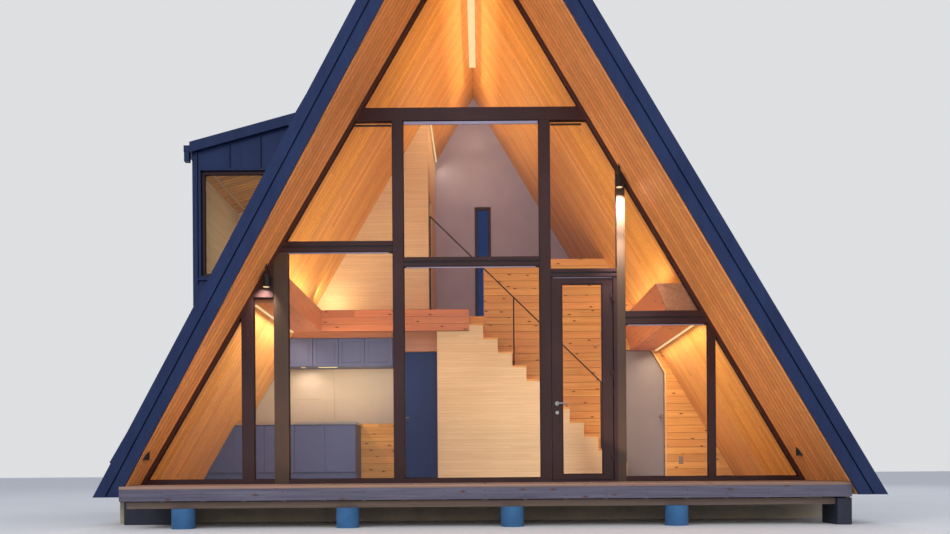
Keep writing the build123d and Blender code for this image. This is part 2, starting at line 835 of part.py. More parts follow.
with BuildPart() as upper_wall:
    xz_solid(
        [(-slope_x(loft_top), loft_top), (return_wall_face, loft_top),
         (return_wall_face, slope_z(return_wall_face))],
        partition_y,
        wall_thickness,
    )
    xz_solid(
        [(return_back, loft_top), (return_wall_face, loft_top),
         (return_wall_face, slope_z(return_wall_face)), (return_back, slope_z(return_back))],
        partition_back_y,
        gable_y - partition_back_y,
    )
    with BuildSketch(Plane.XY.offset(loft_top)):
        with Locations(((return_back + return_wall_face) / 2,
                        partition_back_y + upper_door_offset + upper_door_width / 2)):
            Rectangle(wall_thickness, upper_door_width)
    extrude(amount=upper_door_head - loft_top, mode=Mode.SUBTRACT)
write("upper_wall", upper_wall)

with BuildPart() as upper_door:
    middle = (return_back + return_wall_face) / 2
    xz_box(middle - inner_leaf_thickness / 2, middle + inner_leaf_thickness / 2, loft_top, upper_door_head,
           partition_back_y + upper_door_offset, upper_door_width)
write("upper_door", upper_door)

# Stair
def riser_x(i):
    """Face of riser i, counted from the bottom."""
    return stair_top_x + (riser_count - i) * tread_run


def tread_z(i):
    return floor_top + i * riser_height


with BuildPart() as stair_side_wall:
    outline = [(stair_end_x, floor_top), (riser_x(1), floor_top)]
    for i in range(1, riser_count):
        outline.append((riser_x(i), tread_z(i) - tread_thickness))
        outline.append((riser_x(i + 1), tread_z(i) - tread_thickness))
    outline += [(stair_top_x, loft_bottom), (stair_end_x, loft_bottom)]
    xz_solid(outline, stair_y, stair_wall_thickness)
write("stair_side_wall", stair_side_wall)

with BuildPart() as stair_end_wall:
    xz_box(stair_end_x, stair_end_x + stair_wall_thickness, floor_top, loft_bottom,
           stair_y + stair_wall_thickness, partition_y - stair_y - stair_wall_thickness)
write("stair_end_wall", stair_end_wall)

with BuildPart() as stair_treads:
    for i in range(1, riser_count):
        xz_box(riser_x(i + 1), riser_x(i) + tread_nosing, tread_z(i) - tread_thickness, tread_z(i),
               stair_y, partition_y - stair_y)
write("stair_treads", stair_treads)

with BuildPart() as stair_risers:
    for i in range(1, riser_count):
        riser_foot = max(floor_top, tread_z(i - 1) - tread_thickness)
        xz_box(riser_x(i) - riser_thickness, riser_x(i), riser_foot, tread_z(i) - tread_thickness,
               stair_y + stair_wall_thickness, partition_y - stair_y - stair_wall_thickness)
write("stair_risers", stair_risers)

with BuildPart() as handrail:
    rail_y = stair_y + stair_wall_thickness / 2
    rail_pitch = riser_height / tread_run
    newel_foot = tread_z(int(riser_count - (newel_x - stair_top_x) / tread_run))
    newel_top = newel_foot + rail_height
    mid_foot = tread_z(int(riser_count - (mid_post_x - stair_top_x) / tread_run))
    for x, foot in ((newel_x, newel_foot), (mid_post_x, mid_foot), (upper_post_x, loft_top)):
        with BuildSketch(Plane.XY.offset(foot)):
            with Locations((x, rail_y)):
                Circle(rail_diameter / 2)
        extrude(amount=newel_top + (newel_x - x) * rail_pitch - foot)
    run = newel_x - upper_post_x
    along_rail = Plane(origin=(newel_x, rail_y, newel_top), x_dir=(0, 1, 0), z_dir=(-1, 0, rail_pitch))
    with BuildSketch(along_rail):
        Circle(rail_diameter / 2)
    extrude(amount=run * (1 + rail_pitch ** 2) ** 0.5)
    for x in (newel_x, upper_post_x):
        with Locations((x, rail_y, newel_top + (newel_x - x) * rail_pitch)):
            Sphere(rail_diameter / 2)
write("handrail", handrail)

# Kitchen
cabinet_y = partition_y - cabinet_depth
base_y = partition_y - base_depth
worktop_bottom = worktop_top - worktop_thickness
with BuildPart() as kitchen_cabinets:
    xz_solid(
        [(-slope_x(cabinet_bottom), cabinet_bottom), (cabinet_right, cabinet_bottom),
         (cabinet_right, cabinet_top), (-slope_x(cabinet_top), cabinet_top)],
        cabinet_y,
        cabinet_depth,
    )
    xz_solid(
        [(-slope_x(floor_top), floor_top), (base_right, floor_top), (base_right, worktop_bottom),
         (-slope_x(worktop_bottom), worktop_bottom)],
        base_y,
        base_depth,
    )
write("kitchen_cabinets", kitchen_cabinets)

with BuildPart() as worktop:
    xz_solid(
        [(-slope_x(worktop_bottom), worktop_bottom), (base_right + worktop_overhang, worktop_bottom),
         (base_right + worktop_overhang, worktop_top), (-slope_x(worktop_top), worktop_top)],
        base_y - worktop_overhang,
        base_depth + worktop_overhang,
    )
write("worktop", worktop)

# Back gable with its slit window
slit_height = slit_top - slit_bottom
slit_mid = (slit_top + slit_bottom) / 2
with BuildPart() as back_wall:
    xz_solid(
        [(-slope_x(floor_bottom), floor_bottom), (slope_x(floor_bottom), floor_bottom), (0, inner_apex)],
        gable_y,
        gable_thickness,
    )
    with BuildSketch(section(gable_y)):
        with Locations((slit_centre, slit_mid)):
            Rectangle(slit_width, slit_height)
    extrude(amount=-gable_thickness, mode=Mode.SUBTRACT)
write("back_wall", back_wall)

with BuildPart() as window_frames:
    frame_thickness = gable_thickness - 2 * window_inset
    with BuildSketch(section(gable_y + window_inset)):
        with Locations((slit_centre, slit_mid)):
            Rectangle(slit_width, slit_height)
            Rectangle(slit_width - 2 * window_frame, slit_height - 2 * window_frame, mode=Mode.SUBTRACT)
    extrude(amount=-frame_thickness)
    dormer_window_mid_x = dormer_wall + dormer_window_width / 2 - dormer_face
    dormer_window_mid_z = (dormer_window_top + dormer_window_bottom) / 2
    dormer_window_height = dormer_window_top - dormer_window_bottom
    with BuildSketch(section(dormer_y + window_inset)):
        with Locations((dormer_window_mid_x, dormer_window_mid_z)):
            Rectangle(dormer_window_width, dormer_window_height)
            Rectangle(dormer_window_width - 2 * window_frame, dormer_window_height - 2 * window_frame,
                      mode=Mode.SUBTRACT)
    extrude(amount=-frame_thickness)
write("window_frames", window_frames)

# Glass of the fixed windows
with BuildPart() as glass_panes:
    pane_y = glazing_y + (frame_depth - glass_thickness) / 2
    pane_outlines = [
        [(-slope_x(beam_top, trim), beam_top), (slope_x(beam_top, trim), beam_top), (0, slope_z(0, trim))],
        frame_outline(-1, mullion_out, slope_x(left_transom_top, trim), left_transom_top, beam_bottom),
        [(-mullion_in, centre_transom_top), (mullion_in, centre_transom_top),
         (mullion_in, beam_bottom), (-mullion_in, beam_bottom)],
        frame_outline(1, mullion_out, right_post_in, door_transom_top, beam_bottom),
        [(-left_post_in, sill_top), (-mullion_out, sill_top), (-mullion_out, left_transom_bottom),
         (-left_post_in, left_transom_bottom)],
        [(-mullion_in, sill_top), (mullion_in, sill_top), (mullion_in, centre_transom_bottom),
         (-mullion_in, centre_transom_bottom)],
        frame_outline(-1, left_post_out, left_bay_in, sill_top, left_panel_bottom),
        frame_outline(-1, left_bay_out, slope_x(sill_top, trim), sill_top, beam_bottom),
        frame_outline(1, right_post_out, slope_x(right_header_top, trim), right_header_top, beam_bottom),
        frame_outline(1, right_post_out, right_bay_in, sill_top, right_header_bottom),
        frame_outline(1, right_bay_out, slope_x(sill_top, trim), sill_top, beam_bottom),
    ]
    for outline in pane_outlines:
        xz_solid(outline, pane_y, glass_thickness)
    for x, z, width, height, y in (
        (slit_centre, slit_mid, slit_width, slit_height, gable_y),
        (dormer_window_mid_x, dormer_window_mid_z, dormer_window_width, dormer_window_height, dormer_y),
    ):
        with BuildSketch(section(y + (gable_thickness - glass_thickness) / 2)):
            with Locations((x, z)):
                Rectangle(width - 2 * window_frame, height - 2 * window_frame)
        extrude(amount=-glass_thickness)
write("glass_panes", glass_panes)

# Dormer on the left slope
low_meet = dormer_meets(False)
top_meet = dormer_meets(True)
inner_wall = dormer_face - dormer_wall
with BuildPart() as dormer_end_walls:
    for y in (dormer_y, dormer_back_y - dormer_wall):
        xz_solid(
            [(-dormer_face, slope_z(dormer_face, slab_total)), (-dormer_face, dormer_under(-dormer_face)),
             (-low_meet, dormer_under(-low_meet))],
            y,
            dormer_wall,
        )
    with BuildSketch(section(dormer_y)):
        with Locations((dormer_window_mid_x, dormer_window_mid_z)):
            Rectangle(dormer_window_width, dormer_window_height)
    extrude(amount=-dormer_wall, mode=Mode.SUBTRACT)
write("dormer_end_walls", dormer_end_walls)

with BuildPart() as dormer_side_wall:
    xz_solid(
        [(-dormer_face, slope_z(dormer_face, slab_total)), (-dormer_face, dormer_under(-dormer_face)),
         (-inner_wall, dormer_under(-inner_wall)), (-inner_wall, slope_z(inner_wall, slab_total))],
        dormer_y + dormer_wall,
        dormer_length - 2 * dormer_wall,
    )
write("dormer_side_wall", dormer_side_wall)

with BuildPart() as dormer_roof:
    roof_y = dormer_y - dormer_overhang
    roof_run = dormer_length + 2 * dormer_overhang
    eave_low = dormer_eave_top - dormer_roof_height
    xz_solid(
        [(-dormer_eave_x, eave_low), (-dormer_eave_x, dormer_eave_top),
         (-top_meet, dormer_under(-top_meet) + dormer_roof_height), (-low_meet, dormer_under(-low_meet))],
        roof_y,
        roof_run,
    )
    seam_end = top_meet + dormer_seam_gap
    seam_count = int(roof_run / seam_pitch)
    for i in range(seam_count + 1):
        y = roof_y + (roof_run - seam_width) * i / seam_count
        xz_solid(
            [(-dormer_eave_x, dormer_eave_top), (-dormer_eave_x, dormer_eave_top + seam_height),
             (-seam_end, dormer_under(-seam_end) + dormer_roof_height + seam_height),
             (-seam_end, dormer_under(-seam_end) + dormer_roof_height)],
            y,
            seam_width,
        )
write("dormer_roof", dormer_roof)

with BuildPart() as dormer_floor:
    xz_solid(
        [(-slope_x(loft_bottom, slab_total), loft_bottom), (-inner_wall, loft_bottom),
         (-inner_wall, loft_top), (-slope_x(loft_top, slab_total), loft_top)],
        dormer_y + dormer_wall,
        dormer_length - 2 * dormer_wall,
    )
write("dormer_floor", dormer_floor)

with BuildPart() as dormer_gutter:
    gutter_top = dormer_eave_top - gutter_below_eave
    gutter_bottom = gutter_top - gutter_height
    gutter_out = dormer_eave_x + gutter_width
    xz_solid(
        [(-gutter_out, gutter_top), (-gutter_out, gutter_bottom), (-dormer_eave_x, gutter_bottom),
         (-dormer_eave_x, gutter_top), (-dormer_eave_x - gutter_wall, gutter_top),
         (-dormer_eave_x - gutter_wall, gutter_bottom + gutter_wall),
         (-gutter_out + gutter_wall, gutter_bottom + gutter_wall), (-gutter_out + gutter_wall, gutter_top)],
        roof_y,
        roof_run,
    )
    xz_box(-gutter_out + gutter_wall, -dormer_eave_x - gutter_wall, gutter_bottom - gutter_outlet,
           gutter_bottom, roof_y, gutter_width)
write("dormer_gutter", dormer_gutter)

# Lights
with BuildPart() as ridge_light:
    light_drop = ridge_light_width / 2 * roof_ratio
    xz_solid(
        [(-ridge_light_width / 2, inner_apex - light_drop), (ridge_light_width / 2, inner_apex - light_drop),
         (0, inner_apex)],
        frame_back_y,
        ridge_light_length,
    )
write("ridge_light", ridge_light)

with BuildPart() as porch_spots:
    for x in (left_spot_x, right_spot_x):
        side = -1 if x < 0 else 1
        body_top = slope_z(abs(x) + spot_diameter / 2) - spot_drop
        with BuildSketch(Plane.XY.offset(body_top - spot_height)):
            with Locations((x, glazing_y - spot_forward)):
                Circle(spot_diameter / 2)
        extrude(amount=spot_height)
        with BuildSketch(Plane.XY.offset(body_top)):
            with Locations((x, glazing_y - spot_forward)):
                Circle(spot_stem / 2)
        extrude(amount=slope_z(abs(x)) - body_top + spot_stem)
    split(bisect_by=slope_plane(-1), keep=Keep.BOTTOM)
    split(bisect_by=slope_plane(1), keep=Keep.BOTTOM)
write("porch_spots", porch_spots)

with BuildPart() as foot_lights:
    with BuildSketch(Plane.XY.offset(foot_light_height)):
        for side in (-1, 1):
            with Locations((side * slope_x(foot_light_height), glazing_y - foot_light_forward)):
                Circle(foot_light_radius)
    extrude(amount=2 * foot_light_radius * roof_ratio)
    split(bisect_by=slope_plane(-1), keep=Keep.BOTTOM)
    split(bisect_by=slope_plane(1), keep=Keep.BOTTOM)
write("foot_lights", foot_lights)
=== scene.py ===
"""Looks of the a-frame cabin, in metres, in the frame of the CAD model."""
import bpy
import random
from math import atan, cos, pi, sin
from mathutils import Matrix, Vector


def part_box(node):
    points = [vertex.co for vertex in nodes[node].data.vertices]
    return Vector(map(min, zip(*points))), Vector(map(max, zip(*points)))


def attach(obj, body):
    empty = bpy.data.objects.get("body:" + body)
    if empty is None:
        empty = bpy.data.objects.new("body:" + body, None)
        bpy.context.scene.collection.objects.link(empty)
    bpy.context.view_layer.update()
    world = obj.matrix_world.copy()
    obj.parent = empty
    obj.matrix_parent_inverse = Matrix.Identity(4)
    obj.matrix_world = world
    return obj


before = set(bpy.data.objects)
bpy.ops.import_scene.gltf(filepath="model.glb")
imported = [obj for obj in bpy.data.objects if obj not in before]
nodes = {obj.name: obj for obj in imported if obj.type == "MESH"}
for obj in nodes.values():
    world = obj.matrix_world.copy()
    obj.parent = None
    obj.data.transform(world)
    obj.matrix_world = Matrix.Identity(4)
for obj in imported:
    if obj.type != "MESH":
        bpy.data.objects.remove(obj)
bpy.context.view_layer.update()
random.seed(7)

# Slopes: rise for each metre towards the middle, and half the width between soffits at the ground.
# Then the slab's thickness, how far the left slope's front steps back, and the level of its foot.
RATIO = 1.70
HALF = 4.405
ANGLE = atan(RATIO)
SLAB = 0.27
RAKE = 0.9
FOOT = 0.33

# Places along the depth, from the front to the back
FRONT = -3.64
GLAZING = -2.27
STAIR = 0.23
PARTITION = 0.83
GABLE_BACK = 3.31

# Levels
GABLE_LOW = 0.37
DECK = 0.47
FLOOR = 0.51
DOOR_HEAD = 2.51
LOFT_UNDER = 2.85
LOFT = 3.06
PARAPET = 3.96
SOFFIT_TOP = 7.44

# Doorways in the partition, and the loft's right end
NAVY_LEFT, NAVY_RIGHT = -1.225, -0.555
GREY_LEFT, GREY_RIGHT = 2.36, 3.012
SLOPE_JAMB = 0.13
LOFT_RIGHT = 0.158

# Wall cupboards, and the work space below them
CUPBOARD_FACE = 0.48
CUPBOARD_LOW, CUPBOARD_HIGH = 2.246, 2.670
CUPBOARD_RIGHT = -1.256

# Dormer: its outer wall, its ends, its window, and its ceiling's rise towards the slope
DORMER_WALL = -4.42
DORMER_END = 3.10
DORMER_THICK = 0.12
DORMER_RISE = 0.268
DORMER_EAVE_X, DORMER_EAVE = -4.46, 5.665
DORMER_WINDOW = (-4.30, -3.20, 3.72, 5.39)
SLIT_WINDOW = (0.008, 0.312, 3.358, 5.482)

# Boarding and fixings
BOARD = 0.1145
KNOTTY_BOARD = 0.115
PALE_BOARD = 0.0445
LOFT_BOARD, LOFT_EDGE_LOW = 0.108, 2.736
FLOOR_BOARD = 0.12
BOARD_FACE = 0.007
FASCIA = 0.041
SEAM_PITCH = 0.455
JOISTS, JOIST_FIRST, JOIST_PITCH = 19, -3.8345, 0.44164
DECK_BOARDS, DECK_BOARD, DECK_FRONT = 11, 0.12145, -3.60

# The lights at the posts: name, place across, level of the lens and level of its lamp
SPOTS = (("left", -2.53, 2.899, 2.88), ("right", 1.826, 4.096, 4.08))
SPOT_FRONT = GLAZING - 0.07


def slope_x(z):
    """Half the width between the soffits at a level."""
    return HALF - z / RATIO


def slope_z(x, out=0.0):
    """Level of a soffit, or of the face that lies further out, at a place across."""
    return (HALF + out / sin(ANGLE) - abs(x)) * RATIO


def rake_y(side, z):
    """Front edge of a slope where its soffit is at height z."""
    if side > 0:
        return FRONT
    foot = FOOT / sin(ANGLE)
    top = HALF / cos(ANGLE) + SLAB * RATIO
    return FRONT + RAKE * (top - z / sin(ANGLE)) / (top - foot)


def dormer_under(x):
    """Level of the dormer roof's underside."""
    return DORMER_EAVE + DORMER_RISE * (x - DORMER_EAVE_X)


def corners(left, right, low, high):
    return [(left, low), (right, low), (right, high), (left, high)]


# Materials

class Shader:
    """A material's node tree, built with short calls."""

    def __init__(self, name):
        self.mat = bpy.data.materials.new(name)
        self.mat.use_nodes = True
        self.tree = self.mat.node_tree
        self.tree.nodes.clear()
        self.out = self.add("ShaderNodeOutputMaterial").inputs[0]
        self.where = self.add("ShaderNodeTexCoord").outputs["Object"]

    def add(self, kind, values=None, **settings):
        node = self.tree.nodes.new(kind)
        for key, value in settings.items():
            setattr(node, key, value)
        for key, value in (values or {}).items():
            self.plug(node.inputs[key], value)
        return node

    def plug(self, socket, value):
        if isinstance(value, bpy.types.NodeSocket):
            self.tree.links.new(value, socket)
        else:
            socket.default_value = value

    def math(self, operation, a, b=0.0, clamp=False):
        return self.add("ShaderNodeMath", {0: a, 1: b}, operation=operation, use_clamp=clamp).outputs[0]

    def axis(self, number):
        """The place along X, Y or Z."""
        return self.add("ShaderNodeSeparateXYZ", {0: self.where}).outputs[number]

    def white(self, seed):
        """A random value between 0 and 1 for each seed."""
        return self.add("ShaderNodeTexWhiteNoise", {"W": seed}, noise_dimensions="1D").outputs["Value"]

    def stretch(self, scale):
        return self.add("ShaderNodeVectorMath", {0: self.where, 1: scale}, operation="MULTIPLY").outputs[0]

    def shift(self, vector, value):
        """Moves a texture by a different amount on each board."""
        apart = self.add("ShaderNodeCombineXYZ", {0: value, 1: value, 2: value}).outputs[0]
        far = self.add("ShaderNodeVectorMath", {0: apart, 1: (37.0, 61.0, 53.0)}, operation="MULTIPLY")
        return self.add("ShaderNodeVectorMath", {0: vector, 1: far.outputs[0]}, operation="ADD").outputs[0]

    def noise(self, vector, scale=1.0, detail=4.0, rough=0.55, bend=0.0):
        return self.add("ShaderNodeTexNoise", {"Vector": vector, "Scale": scale, "Detail": detail,
                                               "Roughness": rough, "Distortion": bend}).outputs["Fac"]

    def ramp(self, factor, stops):
        node = self.add("ShaderNodeValToRGB", {0: factor})
        while len(node.color_ramp.elements) < len(stops):
            node.color_ramp.elements.new(0.5)
        for element, (place, colour) in zip(node.color_ramp.elements, stops):
            element.position = place
            element.color = (*colour, 1.0)
        return node.outputs[0]

    def mix(self, factor, a, b, blend="MIX"):
        node = self.add("ShaderNodeMix", {0: factor, 6: a, 7: b}, data_type="RGBA", blend_type=blend)
        return node.outputs[2]

    def bump(self, height, strength, distance=0.01, normal=None):
        values = {"Height": height, "Strength": strength, "Distance": distance}
        if normal:
            values["Normal"] = normal
        return self.add("ShaderNodeBump", values).outputs[0]

    def finish(self, **values):
        named = {key.replace("_", " "): value for key, value in values.items()}
        return self.close(self.add("ShaderNodeBsdfPrincipled", named))

    def close(self, shader):
        self.tree.links.new(shader.outputs[0], self.out)
        return self.mat


def rgb(colour):
    return (*colour, 1.0)


JOINTS_EACH_METRE = 0.42
MOST_KNOTS = 0.4
KNOT = (0.10, 0.035, 0.015)


def board_seed(s, along, across, pitch, start, width):
    """A number for each length of each board, and a value that rises in the grooves between boards."""
    place = s.math("DIVIDE", s.math("SUBTRACT", s.axis(across), start), pitch)
    number = s.math("FLOOR", place)
    part = s.math("SUBTRACT", place, number)
    away = s.math("ABSOLUTE", s.math("SUBTRACT", part, 0.5))
    groove = s.math("MULTIPLY", s.math("SUBTRACT", away, 0.5 - width), 1.5 / width, clamp=True)
    lag = s.math("FRACT", s.math("MULTIPLY", number, 0.377))
    length = s.math("FLOOR", s.math("ADD", s.math("MULTIPLY", s.axis(along), JOINTS_EACH_METRE), lag))
    return s.math("ADD", s.math("MULTIPLY", number, 7.13), s.math("MULTIPLY", length, 3.71)), groove


def timber_figure(s, along, each, other):
    """Grain, fine fibre and arched rings, each long along the boards and thin across them."""
    def drawn_out(thin, long, seed):
        scale = [thin] * 3
        scale[along] = long
        return s.shift(s.stretch(tuple(scale)), seed)

    grain = s.noise(drawn_out(30.0, 0.9, each), 1.0, 5.0, 0.6, 0.6)
    fibre = s.noise(drawn_out(150.0, 2.5, each), 1.0, 3.0, 0.6, 0.2)
    arch = s.noise(drawn_out(11.0, 0.8, other), 1.0, 2.0, 0.5, 1.6)
    rings = s.math("FRACT", s.math("MULTIPLY", arch, 9.0))
    rings = s.math("MULTIPLY", s.math("ABSOLUTE", s.math("SUBTRACT", rings, 0.5)), 2.0)
    return grain, fibre, rings


def knotted(s, colour, dark, along, across, each, share):
    """Knots in flat cells: one may lie in each cell, and a share of the cells has one."""
    depth = 3 - along - across
    side = s.math("ADD", s.math("MULTIPLY", s.axis(across), 8.7), s.math("MULTIPLY", s.axis(depth), 3.1))
    run = s.math("ADD", s.math("MULTIPLY", s.axis(along), 3.1), s.math("MULTIPLY", each, 17.0))
    flat = s.add("ShaderNodeCombineXYZ", {0: run, 1: side}).outputs[0]
    cells = s.add("ShaderNodeTexVoronoi", {"Vector": flat, "Scale": 1.0, "Randomness": 1.0},
                  voronoi_dimensions="2D").outputs
    far = cells["Distance"]
    chosen = s.math("LESS_THAN", s.add("ShaderNodeSeparateColor", {0: cells["Color"]}).outputs[0], share)
    knot = s.math("MULTIPLY", s.math("SUBTRACT", 1.0, s.math("MULTIPLY", far, 10.0), True), 2.0, True)
    ring = s.math("SUBTRACT", 1.0, s.math("MULTIPLY", far, 5.0), True)
    colour = s.mix(s.math("MULTIPLY", s.math("MULTIPLY", ring, 0.6), chosen), colour, rgb(dark))
    return s.mix(s.math("MULTIPLY", knot, chosen), colour, rgb(KNOT))


def timber(name, light, dark, red, along, pitch=0.0, across=2, start=0.0, knots=0.0, gloss=0.42,
           spread=0.6, line=0.6, width=0.05, vary=0.34):
    """Boarding: grain runs along one axis, and boards change at each pitch across another.

    Without a pitch each separate solid is one board. The seed sets a board's tone and moves its figure.
    """
    s = Shader(name)
    groove = None
    if pitch:
        seed, groove = board_seed(s, along, across, pitch, start, width)
    else:
        seed = s.math("MULTIPLY", s.add("ShaderNodeNewGeometry").outputs["Random Per Island"], 97.0)
    each = s.white(seed)
    other = s.white(s.math("ADD", seed, 0.37))
    grain, fibre, rings = timber_figure(s, along, each, other)
    figure = s.math("ADD", s.math("MULTIPLY", grain, 0.62), s.math("MULTIPLY", fibre, 0.38))
    middle = tuple((a + b) / 2 for a, b in zip(light, dark))
    colour = s.ramp(figure, [(0.36, dark), (0.5, middle), (0.62, light)])
    colour = s.mix(s.math("MULTIPLY", rings, 0.22), colour, rgb(dark))
    colour = s.mix(s.math("MULTIPLY", each, spread), colour, rgb(red))
    tone = s.math("ADD", s.math("MULTIPLY", other, vary), 1.0 - vary * 0.5)
    pale = s.add("ShaderNodeCombineColor", {0: tone, 1: tone, 2: tone}).outputs[0]
    colour = s.mix(1.0, colour, pale, "MULTIPLY")
    height = s.math("ADD", s.math("MULTIPLY", grain, 0.4), s.math("MULTIPLY", fibre, 0.6))
    if knots:
        colour = knotted(s, colour, dark, along, across, each, MOST_KNOTS * knots)
    if groove is not None:
        colour = s.mix(s.math("MULTIPLY", groove, line), colour, rgb(tuple(c * 0.25 for c in dark)))
        height = s.math("SUBTRACT", height, s.math("MULTIPLY", groove, 1.6))
    rough = s.math("ADD", s.math("MULTIPLY", fibre, 0.25), gloss - 0.1)
    return s.finish(Base_Color=colour, Roughness=rough, Normal=s.bump(height, 0.35, 0.004),
                    Specular_IOR_Level=0.35)


def metal(name, colour, worn, rough, metallic=0.35, streak=1.0, ripple=0.0):
    """Painted metal with worn clouds, upright streaks and fine specks."""
    s = Shader(name)
    cloud = s.noise(s.where, 1.7, 5.0)
    rain = s.noise(s.stretch((9.0, 9.0, 0.5)), 1.0, 4.0)
    speck = s.noise(s.where, 240.0, 2.0)
    both = s.math("ADD", s.math("MULTIPLY", cloud, 0.5), s.math("MULTIPLY", rain, 0.5 * streak))
    tone = s.ramp(both, [(0.3, colour), (0.62, worn)])
    normal = s.bump(s.noise(s.where, 2.2, 2.0), ripple, 0.02) if ripple else None
    normal = s.bump(speck, 0.03, 0.001, normal)
    return s.finish(Base_Color=tone, Metallic=metallic, Normal=normal,
                    Roughness=s.math("ADD", s.math("MULTIPLY", cloud, 0.18), rough - 0.09))


def mineral(name, colour, dark, scale=3.0, pits=0.0, rough=0.85, strength=0.3):
    """Concrete, plaster or lacquer: clouds and fine sand, and round pits where they are wanted."""
    s = Shader(name)
    cloud = s.noise(s.where, scale, 6.0, 0.6)
    sand = s.noise(s.where, 170.0, 3.0)
    tone = s.ramp(s.math("ADD", s.math("MULTIPLY", cloud, 0.75), s.math("MULTIPLY", sand, 0.25)),
                  [(0.3, dark), (0.65, colour)])
    height = s.math("ADD", s.math("MULTIPLY", sand, 0.5), cloud)
    if pits:
        cell = s.add("ShaderNodeTexVoronoi", {"Vector": s.where, "Scale": 26.0}).outputs["Distance"]
        pit = s.math("SUBTRACT", 1.0, s.math("MULTIPLY", cell, 9.0), True)
        tone = s.mix(s.math("MULTIPLY", pit, pits), tone, rgb(tuple(c * 0.4 for c in dark)))
        height = s.math("SUBTRACT", height, s.math("MULTIPLY", pit, 2.0))
    return s.finish(Base_Color=tone, Roughness=rough, Normal=s.bump(height, strength, 0.003))


def brushed(name, colour, rough=0.3):
    """Steel with fine hair lines."""
    s = Shader(name)
    hair = s.noise(s.stretch((40.0, 400.0, 400.0)), 1.0, 2.0)
    tone = s.ramp(hair, [(0.3, tuple(c * 0.8 for c in colour)), (0.7, colour)])
    return s.finish(Base_Color=tone, Metallic=0.95, Normal=s.bump(hair, 0.05, 0.001),
                    Roughness=s.math("ADD", s.math("MULTIPLY", hair, 0.15), rough - 0.05))


def clear_glass(name):
    """Clear panes. The slit window's pane is behind the gable's inner face, and is duller, and its dark blue
    is painted dusk sky seen through it.
    """
    s = Shader(name)
    slit = s.math("GREATER_THAN", s.axis(1), GABLE_BACK - 0.16)
    # Clear panes keep a faint real tint; the slit pane's dark blue stands in for the dusk sky beyond: painted
    # light.
    pane_tint_and_painted_sky = s.mix(slit, rgb((0.93, 0.955, 0.965)), rgb((0.10, 0.18, 0.36)))
    through = s.add("ShaderNodeBsdfTransparent", {"Color": pane_tint_and_painted_sky})
    shine = s.add("ShaderNodeBsdfGlossy", {"Color": (1, 1, 1, 1), "Roughness": 0.015,
                                          "Normal": s.bump(s.noise(s.where, 0.9, 1.0), 0.02, 0.02)})
    edge = s.math("MULTIPLY", s.add("ShaderNodeFresnel", {"IOR": 1.5}).outputs[0],
                  s.math("SUBTRACT", 0.3, s.math("MULTIPLY", slit, 0.3)))
    both = s.add("ShaderNodeMixShader", {0: edge, 1: through.outputs[0], 2: shine.outputs[0]})
    return s.close(both)


def glowing(name, colour, strength):
    """A lens that is lit from inside."""
    s = Shader(name)
    even = s.noise(s.where, 14.0, 2.0)
    tone = s.ramp(even, [(0.3, tuple(c * 0.93 for c in colour)), (0.7, colour)])
    return s.finish(Base_Color=rgb((0.28, 0.22, 0.14)), Emission_Color=tone, Emission_Strength=strength,
                    Roughness=0.4)


